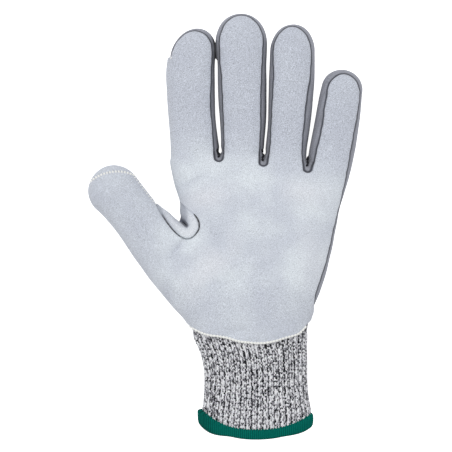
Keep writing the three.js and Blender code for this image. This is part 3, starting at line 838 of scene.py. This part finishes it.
# %% Suede
LEATHER_MARKS = ("edge", "cool", "pale", "seam")  # numbers kept on the leather's vertices
suede, n, shader, place = new_material("split_suede", 0.95, sheen=0.35)
grain = n.group(grain_group, {"Place": place, "Size in mm": 0.42})
clouds = n.group(cloud_group, {"Place": place, "Size in mm": 24.0})
patches = n.group(cloud_group, {"Place": place, "Size in mm": 2.2})
mark = {key: n.attribute(key) for key in LEATHER_MARKS}
base = n.mix(n.range(clouds[0], -0.7, 0.7), linear(206, 211, 220), linear(223, 229, 234))
# The cool mark is the darker tone of the fingers, thumb and heel, and also painted shade in the palm's
# hollows and creases.
base = n.mix(mark["cool"], base, linear(190, 194, 205))
# Painted light: the pale mark lightens the palm's mounds and the top of the roll at the thumb crotch.
base = n.mix(mark["pale"], base, linear(226, 228, 233))
speck = n.math("MULTIPLY_ADD", grain["Grain"], n.range(mark["cool"], 0, 1, 0.36, 0.62), 0.98)
# The edge mark darkens the cut edge, partly its own colour and partly painted shade at the rolled rim; on the
# crotch piece it is painted shade in the pocket, on the wall and beside the seam.
base = n.mix(mark["edge"], n.times(base, speck), linear(116, 121, 136))
# Painted shade: a broken dark line along the groove of the crotch seam.
painted_seam_shade = n.math("MULTIPLY", n.range(mark["seam"], 2.3, 2.85), n.range(patches[0], -0.8, 0.6, 0.35, 1))
finish(n, shader, n.mix(painted_seam_shade, base, linear(70, 66, 72)), grain["Height"], 0.12, 0.6)

# %% Knitting, bare and dipped
knit, n, shader, place = new_material("heather_knit_dipped_in_front", 0.85, sheen=0.1)
stitches = n.knitting()
coat = n.attribute("coat")
grain = n.group(grain_group, {"Place": place})
film = n.mix(n.range(grain["Grain"], -1, 1), linear(142, 144, 154), linear(172, 174, 183))
# Painted sheen: the film is lighter where it is seen at a grazing angle.
facing = n.add("ShaderNodeLayerWeight", {"Blend": 0.5}).outputs["Facing"]
film = n.mix(n.range(facing, 0.4, 0.95), film, linear(172, 174, 184))
# Painted shade: the film is darker within 1.7 mm of the raised edge of the leather.
film = n.mix(n.range(n.attribute("beside"), 1.7, 0.9), film, linear(80, 82, 90))
film = n.times(film, n.range(stitches["Height"], 0, 1, 0.8, 1.1))
# Painted shade: near black in the finger crotches' puckers and in the narrow gaps between the fingers.
film = n.mix(n.attribute("dark"), film, linear(20, 20, 24))
n.tree.links.new(n.range(coat, 0, 1, 0.9, 0.55), shader.inputs["Roughness"])
soft_height = n.math("MULTIPLY", stitches["Height"], n.range(coat, 0, 1, 1.0, 0.25))
finish(n, shader, n.mix(coat, stitches["Color"], film), soft_height, 0.5, 0.8)

# %% Ribbed knitting of the cuff
ribbed, n, shader, place = new_material("heather_rib", 0.9, sheen=0.1)
# Painted shade: the rib valleys are drawn darker.
painted_valley_shade = n.range(n.attribute("valley"), 0.5, 0.95, -0.06, 0.26)
stitches = n.knitting({"Darkness": painted_valley_shade, "Stitch width": 1.625, "Stitch height": 1.0})
finish(n, shader, stitches["Color"], stitches["Height"], 0.4, 0.8)


# %% Threads
def thread_material(name, low, high, sheen, shine=0.25):
    """Spun thread: a matt colour that varies a little along it, with a fine grain, and painted shade where
    the valley number is high.
    """
    material, n, shader, place = new_material(name, 0.75, sheen=sheen)
    shader.inputs["Specular IOR Level"].default_value = shine
    grain = n.group(grain_group, {"Place": place})
    colour = n.mix(n.range(grain["Grain"], -1, 1), linear(*low), linear(*high))
    valley = n.math("MULTIPLY", n.attribute("valley"), 0.7)
    colour = n.mix(valley, colour, linear(*(c * 0.35 for c in low)))
    finish(n, shader, colour, grain["Height"], 0.08, 0.5)
    return material


green_thread = thread_material("green_thread", (0, 99, 88), (0, 128, 113), 0.0, 0.05)
cream_thread = thread_material("cream_thread", (240, 240, 234), (254, 254, 251), 0.2)
rose_thread = thread_material("rose_thread", (150, 118, 120), (186, 158, 156), 0.1)
black_thread = thread_material("black_thread", (16, 16, 20), (34, 34, 40), 0.0)
print("materials:", [m.name for m in bpy.data.materials])

# %% [markdown]
# ## The knitted hand
#
# One seamless knitted piece, dipped on the palm side. Its skin is made from the field and given a wall 1.4 mm
# thick, so that the cuff's mouth shows a hollow glove. Three numbers on each vertex drive the finish: how
# much coating is there; how far the leather is, since the film is painted darker beside its raised edge as
# shade; and how much painted shade darkens the pucker at the bottom of each finger crotch and the gaps
# between the fingers.

# %% The knitted hand
KNIT_CELL, KNIT_WALL = 1.2, 1.4
points, quads = skin((-88, -64.5, -2), (88, 132, 42), KNIT_CELL)
points, outward = settle(points)
x, y, z = points.T
over_wrap, height_share, past_tip, across, along = place_on_glove(points)
wander = 0.06 * np.sin(across / 3.1) + 0.05 * np.sin(along / 4.3 + 1.0) + 0.04 * np.sin(along / 1.9)
coat_back = eased(height_share + wander, -0.62, -0.52)
coat_tips = eased(past_tip + 14 * wander, -12.0, -10.5)
coat = np.maximum(coat_back, coat_tips) * eased(y + 0.12 * (x - 20) + 20 * wander, -57.0, -54.0)
# Painted shade: the pucker at the bottom of each finger crotch and the narrow gaps between neighbouring
# fingers, darker on each finger's right side.
PUCKERS = [(-4.2, 43.4), (22.4, 41.0), (49.0, 38.6)]
dark = sum(bell(x - px, y - py, 1.1, 2.6) for px, py in PUCKERS) * eased(z, 8, 14)
by_finger = [digit_at(name, x, y, z)[0] for name in ("index", "middle", "ring", "little")]
to_neighbour = np.sort(by_finger, axis=0)[1]
on_right_side = eased(outward[:, 0], 0.55, 0.92)
finger_gap_shade = bell(to_neighbour, 0, 3.0, 1) * on_right_side + 0.8 * bell(to_neighbour, 0, 1.2, 1)
dark = np.clip(dark + finger_gap_shade * eased(y, 40, 50), 0, 1)
# The distance beyond the leather's edge, for the painted shade beside it.
beside = np.clip(-palm_cut(points + SEEN * outward), 0, 5)
outer = points - outward * (0.35 * eased(-y, 61.0, 64.0))[:, None]  # tucked into the cuff
hand_points, hand_faces, rim = closed_shell(outer, points - KNIT_WALL * outward, quads)
make_piece(
    "knitted_hand",
    hand_points,
    hand_faces,
    knit,
    ("hand_knit", "index_stall", "middle_stall", "ring_stall", "little_stall", "thumb_stall"),
    uv=np.stack([on_both(across, rim), on_both(along, rim)], 1),
    values={"coat": on_both(coat, rim), "dark": on_both(dark, rim), "beside": on_both(beside, rim)},
)

# %% [markdown]
# ## The suede pieces
#
# A leather piece lies on the knitting like a tile. Its skin is the same field's, cut along its outline:
# triangles are split where the distance to the outline is nought, and again a little way in, so that the
# edge can be rolled down over its last millimetre. The inner face shares the rim's vertices.

# %% Leather from a skin and a distance to its edge
LEATHER_IN, LEATHER_OUT, EDGE_ROLL = 0.3, 1.5, 1.1


def seam_at(x, y):
    """3 at the crotch seam, less by the distance from it; the suede is painted with a dark line of shade
    where it is high. The painted line is finer where it is lowest and up its arms, and wider on the right."""
    lowest, rightmost = bell(x + 25.0, y + 8.0, 6.0, 3.4), bell(x + 17.0, y - 2.0, 3.5, 6.0)
    distance = np.abs(inside_crotch(x, y)) * (1 + lowest - 0.5 * rightmost)
    return np.clip(3 - distance - 0.38 * lowest - eased(y, 5, 10), 0, 3)


def leather_piece(name, low, high, cell, inside_of, node, marks):
    """Height over the knitting: from the inner face at the rim to the outer one, as a quarter circle over
    the rolled edge: in + (out - in) * root of 1 - (1 - distance/roll)^2. Outlines are followed by the face
    that is seen, so distances are taken a little over the knitting."""
    points, quads = skin(low, high, cell)
    points, outward = settle(points)
    columns = np.column_stack([points, outward, inside_of(points + SEEN * outward)])
    columns, triangles = kept_over(columns, triangles_of(quads), 6, -2.5)
    for share in (0.0, 0.12, 0.4, 1.0):
        columns, triangles = split_at(columns, triangles, 6, share * EDGE_ROLL)
    columns, triangles = kept_over(columns, triangles, 6, 0.0)
    points, outward, distance = columns[:, :3], unit(columns[:, 3:6]), columns[:, 6]
    seen = points + SEEN * outward
    share = np.clip(distance / EDGE_ROLL + flush_at(seen[:, 0], seen[:, 1]), 0, 1)
    lift = LEATHER_IN + (LEATHER_OUT - LEATHER_IN) * np.sqrt(1 - (1 - share) ** 2)
    outer, inner = points + outward * lift[:, None], points + outward * LEATHER_IN
    shell, faces, rim = closed_shell(outer, inner, triangles)
    values = {key: on_both(column, rim) for key, column in marks(seen).items()}
    make_piece(name, shell, faces, suede, (node,), values=values)


def cool_at(x, y):
    """The finger fronts and the thumb are a cooler grey than the palm."""
    return np.maximum(0.8 * eased(y + 0.12 * x, 26, 62), 0.6 * eased(-x, 30, 50))


def palm_marks(points):
    """The raw edge shows where the leather is cut to the outline, above the hem, partly as painted shade at
    the rolled rim; mounds get painted light, hollows and creases painted shade, and the heel of the hand is
    cool."""
    x, y, _ = points.T
    from_cut = inside_distance(x, y, PALM_OUTLINE) + 2 * eased(-y, 46, 54)
    # Painted light on the mounds and painted shade in the hollows and creases, from the relief's height.
    relief_light_and_shade = np.clip(mounds_at(x, y) / 1.9, -1, 1)
    heel = np.maximum(0.45 * eased(-y, 28, 44), 0.8 * bell(x + 36, y + 43, 7, 12))
    cool = np.clip(np.maximum.reduce([cool_at(x, y), heel, -0.45 * relief_light_and_shade]), 0, 1)
    pale = np.clip(0.7 * relief_light_and_shade, 0, 1)
    return {"edge": np.clip(1 - from_cut / 0.5, 0, 1), "seam": seam_at(x, y), "cool": cool, "pale": pale}


leather_piece("palm_suede", (-88, -72, 4), (84, 132, 42), 0.88, palm_cut, "palm_leather", palm_marks)


# %% The leather on the thumb's back, which comes over the tip to the stitched arc
def thumb_back_cut(points):
    x, y, _ = points.T
    past_front = np.maximum(-place_on_glove(points)[0], -TIGHT * before_tip_seam(x, y)) - 0.05
    crotch = -inside_crotch(x, y) - 0.1
    own = digit_at("thumb", *points.T)[0]
    others = np.minimum(hand_at(*points.T)[0], digit_at("web", *points.T)[0])
    return np.minimum.reduce([past_front, crotch, along_thumb(x, y) - THUMB_BACK_END, others - own])


def thumb_back_marks(points):
    x, y, _ = points.T
    return {"cool": cool_at(x, y), "seam": seam_at(x, y)}


low, high = (-88, -36, -2), (-20, 42, 42)
leather_piece("thumb_back_suede", low, high, 0.85, thumb_back_cut, "thumb_back_leather", thumb_back_marks)


# %% The rolled leather round the thumb crotch
def crotch_cut(points):
    x, y, z = points.T
    return np.minimum(inside_crotch(x, y) - crotch_gap_at(x, y), z - 4.0)


def crotch_marks(points):
    """The top of the roll is painted lighter, as a highlight; the pocket behind it, the wall and the seam's
    left side are painted darker, as shade.
    """
    x, y, _ = points.T
    inward = inside_crotch(x, y)
    crest_highlight = np.sin(math.pi * np.clip(inward / (ROLL_WIDTH + 1.0), 0, 1))
    pocket = 1.15 * bell(x + 25.2, y - 0.5, 4.8, 3.4) * eased(inward, 5.6, 6.1)
    wall = 0.55 * eased(inward + 0.67 * y, 6.4, 8.4) * eased(y, 1, 4) * eased(x, -32, -29)
    shade = 0.5 * np.exp(-((inward / 1.5) ** 2)) * eased(-x, 26, 31)
    painted_shade = np.clip(pocket + wall + shade, 0, 1)
    return {"pale": 0.55 * crest_highlight * eased(y, 14, 2), "edge": painted_shade, "seam": seam_at(x, y)}


low, high = (-47, -12, 0), (-10, 24, 40)
leather_piece("thumb_web_suede", low, high, 0.55, crotch_cut, "thumb_web_leather", crotch_marks)

# %% [markdown]
# ## The ribbed cuff
#
# The cuff is knitted in a rib, so that it grips the wrist: raised columns of stitches with valleys between.
# It is one tube, so it can be a plain grid: one parameter goes round it by equal steps of its girth, the
# other goes up the outside, over the top, down the inside and round the hem. Ribs and stitches are waves of
# those two parameters, added along the surface's own direction.

# %% The cuff's grid
RIB_PITCH, STITCH_ROW = 3.25, 1.15
CUFF_TOP_ROW, HEM_ROW = -58.5, -115.1
HEM_TILT = 0.17


def round_section(turns, squareness=HAND_SQUARENESS):
    """Points of a rounded oblong at angles: the sign and the power 2/n of cosine and sine."""
    return tuple(np.sign(v) * np.abs(v) ** (2 / squareness) for v in (np.cos(turns), np.sin(turns)))


def even_turns(count, y=-95.0):
    """Angles that cut the cuff's girth into equal lengths, and that girth in mm."""
    turns = np.linspace(0, 2 * math.pi, 4001)
    c, s = round_section(turns)
    left, right, deep, _ = (np.interp(y, *column) for column in HAND_COLUMNS)
    x, z = (right - left) / 2 * c, deep * s
    girth = np.concatenate([[0], np.cumsum(np.hypot(np.diff(x), np.diff(z)))])
    return np.interp(np.arange(count) / count * girth[-1], girth, turns), girth[-1]


def cuff_surface(turns, rows):
    """Points of the cuff for arrays of turns and rows, settled on the form's own field, with the outward
    directions. The hem hangs lower in the middle of the palm side, by the bow times a power of the sine, and
    its left end is a little higher than its right one."""
    left, right, deep, height = (np.interp(rows, *column) for column in HAND_COLUMNS)
    c, s = round_section(turns)
    x = (left + right) / 2 + (right - left) / 2 * c
    z = height + deep * s
    bow = HEM_BOW * np.clip((-97.0 - rows) / 13.0, 0, 1) ** 1.2
    flat = np.column_stack([x.ravel(), rows.ravel(), np.maximum(z, 0.6).ravel()])
    points, outward = settle(flat, steps=4)
    sink = bow * (np.maximum(np.sin(turns), 0) ** 1.9 + HEM_TILT * c**3)
    points[:, 1] -= sink.ravel()
    return points, outward


def ring_faces(rows, columns):
    """Four-sided faces of a grid of vertices, row by row, whose last row and column join the first ones."""
    number = np.arange(rows * columns).reshape(rows, columns)
    over = np.roll(number, -1, 0)
    return np.stack([number, over, np.roll(over, -1, 1), np.roll(number, -1, 1)], -1).reshape(-1, 4)


AROUND, OUTSIDE_ROWS, INSIDE_ROWS = 432, 150, 26
turns, girth = even_turns(AROUND)
ribs = round(girth / RIB_PITCH)
down = np.linspace(CUFF_TOP_ROW, HEM_ROW, INSIDE_ROWS)
rows = np.concatenate([np.linspace(HEM_ROW, CUFF_TOP_ROW, OUTSIDE_ROWS), down])
base, outward = cuff_surface(*np.meshgrid(turns, rows))
x, y, z = base.T
around = np.tile(np.arange(AROUND) / AROUND * girth, len(rows))
rib = 0.5 + 0.5 * np.cos(around / girth * ribs * 2 * math.pi)
stitch = np.sin((y / STITCH_ROW + 0.5 * rib) * 2 * math.pi)
under_leather = eased(inside_distance(x, y, PALM_OUTLINE), -1.5, 0.5) * eased(z, 12, 16)
flat = np.maximum(eased(y, -66.0, -61.0), under_leather)
lift = (1 - flat) * (0.8 * rib**0.8 - 0.55 + 0.12 * stitch) - 0.45 * flat
lift = np.where(np.arange(len(x)) < OUTSIDE_ROWS * AROUND, lift, -KNIT_WALL)
pinch = -1.5 * eased(-x, -4, 12) * eased(-y, 99, 108) * eased(-z, -30, -24)
print("cuff girth", round(girth, 1), "mm,", ribs, "ribs")
make_piece(
    "ribbed_cuff",
    base + outward * (lift + pinch)[:, None],
    ring_faces(len(rows), AROUND),
    ribbed,
    ("cuff_knit",),
    uv=np.stack([around / girth * ribs * RIB_PITCH, y], 1),
    # The valley number drives painted shade in the rib valleys.
    values={"valley": np.clip(1 - rib, 0, 1) * (1 - flat)},
)

# %% [markdown]
# ## The green edging
#
# The hem is oversewn with green thread, packed so close that it makes a rounded roll with fine upright
# ridges and a zigzag top edge. It is a closed profile carried round the hem: the profile is a rounded
# oblong, its top is moved up and down by the zigzag, its foot hangs lower at the two corners, and the ridges
# are a wave along the path.

# %% The edging
TEETH_PITCH, RIDGE_PITCH = 1.75, 1.2
STEPS, SIDES = 1400, 28
hem_turns, girth = even_turns(STEPS, HEM_ROW)
hem, hem_out = cuff_surface(hem_turns[None, :], np.full((1, STEPS), HEM_ROW + 0.5))
hem_left, hem_right = HAND[0, 1:3]
to_corner = (2 * hem[:, 0] - hem_left - hem_right) / (hem_right - hem_left)
thick, tall = (v[:, None] for v in round_section(np.linspace(0, 2 * math.pi, SIDES, endpoint=False), 2.7))
share = np.arange(STEPS) / STEPS
saw = np.abs(2 * ((share * round(girth / TEETH_PITCH)) % 1) - 1)
ridge = np.sin(share * round(girth / RIDGE_PITCH) * 2 * math.pi)
drape = 0.4 + 4.6 * eased(-to_corner, 0.4, 0.95) + 2.2 * eased(to_corner, 0.45, 0.95)
crown = 2.9 - 1.6 * eased(-to_corner, 0.86, 1.0)
out_by = -0.7 + 2.2 * thick + 0.16 * ridge * (thick > -0.5)
up_by = 1.4 + tall * np.where(tall < 0, 2.9 + drape, crown) + 0.8 * (saw - 0.5) * (tall > 0.35)
edging_points = hem + hem_out * out_by[..., None]
edging_points[..., 1] += up_by
# Painted shade: the edging is darker in the grooves between its ridges and along the roll's underside, and it
# is also darker towards its left end.
foot = 0.3 * eased(-tall, 0.5, 1.0) + 0.3 * eased(-to_corner, 0.6, 0.95)
make_piece(
    "cuff_edging",
    edging_points.reshape(-1, 3),
    ring_faces(SIDES, STEPS)[:, [0, 3, 2, 1]],
    green_thread,
    ("cuff_binding",),
    values={"valley": (0.4 - 0.4 * ridge + foot).ravel()},
)

# %% [markdown]
# ## Stitches
#
# The leather is sewn on with cream thread, the roll at the thumb crotch with rose, and black thread closes
# the finger crotches. A stitch is a short arc of thread that comes up out of the leather and goes down again,
# so each one is a small tube whose radius closes at both ends. All the stitches of a seam are made at once,
# as one array of stitches, rings and sides.

# %% Places on the surface, and rows of stitches
def drop(x, y, level):
    """The height at which the form, grown by a level, is met from above: the first crossing going down."""
    z = np.arange(44.0, 2.0, -0.25)
    x, y = np.asarray(x, float), np.asarray(y, float)
    values = form(x[:, None], y[:, None], z[None, :]) - level
    first = np.argmax(values < 0, axis=1)
    rows = np.arange(len(x))
    a, b = values[rows, first - 1], values[rows, first]
    return np.where(first > 0, z[first - 1] - 0.25 * a / np.maximum(a - b, 1e-9), 0.0)


def run_along(points):
    """The distance along a line at each of its points."""
    return np.concatenate([[0], np.cumsum(np.linalg.norm(np.diff(points, axis=0), axis=1))])


def even_line(points, pitch):
    """Points a pitch apart along a line."""
    run = run_along(points)
    at = np.linspace(0, run[-1], int(run[-1] / pitch) + 1)
    return np.column_stack([np.interp(at, run, column) for column in points.T])


def open_curve(points, steps=8):
    """A smooth line through points, by the table's cubic on each coordinate."""
    run = run_along(points)
    return np.column_stack([smooth_column(run, column, len(points) * steps)[1] for column in points.T])


def sewn(name, starts, ends, up, radius, lift, material):
    """Stitches from starts to ends. The middle line is start + t(end - start) + up * lift * sin(pi t), and
    the radius is the thread's times the root of the sine, with a small floor."""
    rings, sides = 7, 7
    t = np.linspace(0, 1, rings)
    arc = np.sin(math.pi * t)
    middle = starts[:, None] + t[None, :, None] * (ends - starts)[:, None]
    middle = middle + up[:, None] * (lift * arc - 0.35 * radius)[None, :, None]
    forward = (ends - starts) / np.linalg.norm(ends - starts, axis=1)[:, None]
    side = np.cross(forward, up)
    side /= np.linalg.norm(side, axis=1)[:, None]
    turn = np.arange(sides) / sides * 2 * math.pi
    thick = radius * np.maximum(np.sqrt(arc), 0.02)
    ring = side[:, None] * np.cos(turn)[None, :, None] + up[:, None] * np.sin(turn)[None, :, None]
    points = middle[:, :, None] + ring[:, None] * thick[None, :, None, None]
    block = np.arange(rings * sides).reshape(rings, sides)
    a, b = block[:-1], block[1:]
    quads = np.stack([a, np.roll(a, -1, 1), np.roll(b, -1, 1), b], -1).reshape(-1, 4)
    faces = (quads[None] + (np.arange(len(starts)) * rings * sides)[:, None, None]).reshape(-1, 4)
    make_piece(name, points.reshape(-1, 3), faces, material)


def on_palm(line, level):
    """A plan line laid on the palm side, with the outward directions there."""
    points = np.column_stack([line, drop(line[:, 0], line[:, 1], level)])
    return points, unit(form_and_slope(points)[1])


def sewn_row(name, places, up, reach, radius, lift, material):
    """A stitch from each place towards the next one, over a share of the way, where the line is on top."""
    on_top = places[:, 2] > 8
    places, up = places[on_top], up[on_top]
    ends = places[:-1] + reach * (places[1:] - places[:-1])
    sewn(name, places[:-1], ends, up[:-1], radius, lift, material)


def slid_out(points, direction, level):
    """Points moved along a direction until the form, grown by a level, is left: halved steps between inside
    and far outside."""
    low, high = np.zeros(len(points)), np.full(len(points), 20.0)
    for _ in range(24):
        middle = (low + high) / 2
        inside = form(*(points + middle[:, None] * direction).T) < level
        low, high = np.where(inside, middle, low), np.where(inside, high, middle)
    return points + low[:, None] * direction


# %% The leather hem's stitches
hem_line = open_curve(np.array([p for p in LEATHER_HEM if p[0] > -24.0][1:]))
hem_line = even_line(hem_line[hem_line[:, 0] > -23.5], 1.9)
sewn_row("hem_stitches", *on_palm(hem_line, 1.0), 1.25, 0.9, 0.5, cream_thread)

# %% The pearl stitches over the thumb's tip
angles = np.radians(np.linspace(148, 52, 200))
tip_line = even_line(SEAM_CENTRE + SEAM_RADIUS * np.column_stack([np.cos(angles), np.sin(angles)]), 1.75)
sewn_row("thumb_tip_stitches", *on_palm(tip_line, 1.5), 0.86, 0.84, 0.5, cream_thread)

# %% The stitches down the thumb's inner side, from the tip seam to the crotch
inner_side = np.array((THUMB_AXIS[1], -THUMB_AXIS[0]))
inner_line = THUMB_ROOT + THUMB_AXIS * np.linspace(12.0, 36.0, 200)[:, None] + 9.0 * inner_side
inner_line = even_line(np.column_stack([inner_line, np.full(200, 22.5)]), 1.9)
places = slid_out(inner_line, np.array((*inner_side, 0.0)), 1.6)
sewn_row("thumb_side_stitches", places, unit(form_and_slope(places)[1]), 0.6, 0.42, 0.3, cream_thread)

# %% The rose stitches on the roll, just inside the crotch seam
around = np.concatenate([CROTCH_LOOP, CROTCH_LOOP[:1]])
normal = unit(np.gradient(around, axis=0) @ np.array([[0, 1], [-1, 0]]))
inwards = normal * np.sign(inside_crotch(*(around - normal).T))[:, None]
rose_line = around + 1.15 * inwards
rose_line = even_line(rose_line[(rose_line[:, 1] < 3.0) & (rose_line[:, 0] > -33.0)], 1.1)
sewn_row("crotch_stitches", *on_palm(rose_line, 1.35), 0.7, 0.24, 0.15, rose_thread)

# %% The black thread that closes each finger crotch, in a short zigzag
CLOSINGS = [
    [(-5.0, 46.6), (-5.1, 43.8), (-4.0, 42.2), (-4.7, 41.0)],
    [(21.6, 46.4), (21.9, 43.6), (22.6, 42.2), (21.6, 40.6), (22.2, 38.8)],
    [(49.4, 42.2), (48.6, 39.0), (49.2, 37.0), (48.0, 35.6)],
]
starts = np.concatenate([line[:-1] for line in map(np.array, CLOSINGS)])
ends = np.concatenate([line[1:] for line in map(np.array, CLOSINGS)])
starts, up = on_palm(starts, 0.3)
ends = on_palm(ends, 0.3)[0]
sewn("crotch_closings", starts, ends, up, 0.75, 0.3, black_thread)

# %% The thread's end at the index leather's corner
corner, up = on_palm(np.array([(-33.0, 99.6), (-32.2, 101.6)]), 1.2)
sewn("index_corner_stitch", corner[:1], corner[1:], up[:1], 0.5, 0.4, cream_thread)

# %% [markdown]
# ## Floor, light and camera
#
# The glove was photographed from straight above on white, in light so soft that it throws no shadow. A pale
# floor that is lit from within does that. A bright even sky, a large soft light beyond the fingertips and a
# weaker one beyond the cuff, on the thumb's side, give the leather its gentle shading.

# %% The floor
mesh = bpy.data.meshes.new("floor")
mesh.from_pydata([(-3, -3, -0.0005), (3, -3, -0.0005), (3, 3, -0.0005), (-3, 3, -0.0005)], [], [(0, 1, 2, 3)])
floor = bpy.data.objects.new("floor", mesh)
bpy.context.scene.collection.objects.link(floor)
paper, n, shader, _ = new_material("white_paper", 0.9)
shader.inputs["Base Color"].default_value = (0.8, 0.8, 0.81, 1)
n.tree.links.new(n.add("ShaderNodeLightPath").outputs["Is Camera Ray"], shader.inputs["Emission Color"])
shader.inputs["Emission Strength"].default_value = 0.97
mesh.materials.append(paper)

# %% The light
world = bpy.data.worlds.new("studio")
bpy.context.scene.world = world
world.use_nodes = True
sky = world.node_tree.nodes["Background"].inputs
sky["Color"].default_value, sky["Strength"].default_value = (0.97, 0.98, 1.0, 1), 0.685
for name, place, size, power in (("key", (-0.2, 1.0, 1.5), 0.9, 9), ("fill", (-0.5, -0.8, 1.6), 1.2, 3)):
    lamp = bpy.data.lights.new(name, "AREA")
    lamp.shape, lamp.size, lamp.energy = "DISK", size, power
    holder = bpy.data.objects.new(name, lamp)
    holder.location = place
    holder.rotation_euler = (Vector((0, 0, 0.02)) - Vector(place)).to_track_quat("-Z", "Y").to_euler()
    bpy.context.scene.collection.objects.link(holder)

# %% The camera, straight above
DISTANCE, FRAME_WIDTH, MIDDLE_HEIGHT = 2.5, 0.2712, 0.016
camera = bpy.data.objects.new("camera", bpy.data.cameras.new("camera"))
camera.data.sensor_width = 36.0
camera.data.lens = 36.0 * (DISTANCE - MIDDLE_HEIGHT) / FRAME_WIDTH
camera.data.clip_end = 20
camera.location = (0, 0, DISTANCE)
bpy.context.scene.collection.objects.link(camera)
bpy.context.scene.camera = camera
bpy.context.scene.view_settings.view_transform = "Standard"
print("lens in mm:", round(camera.data.lens, 1))
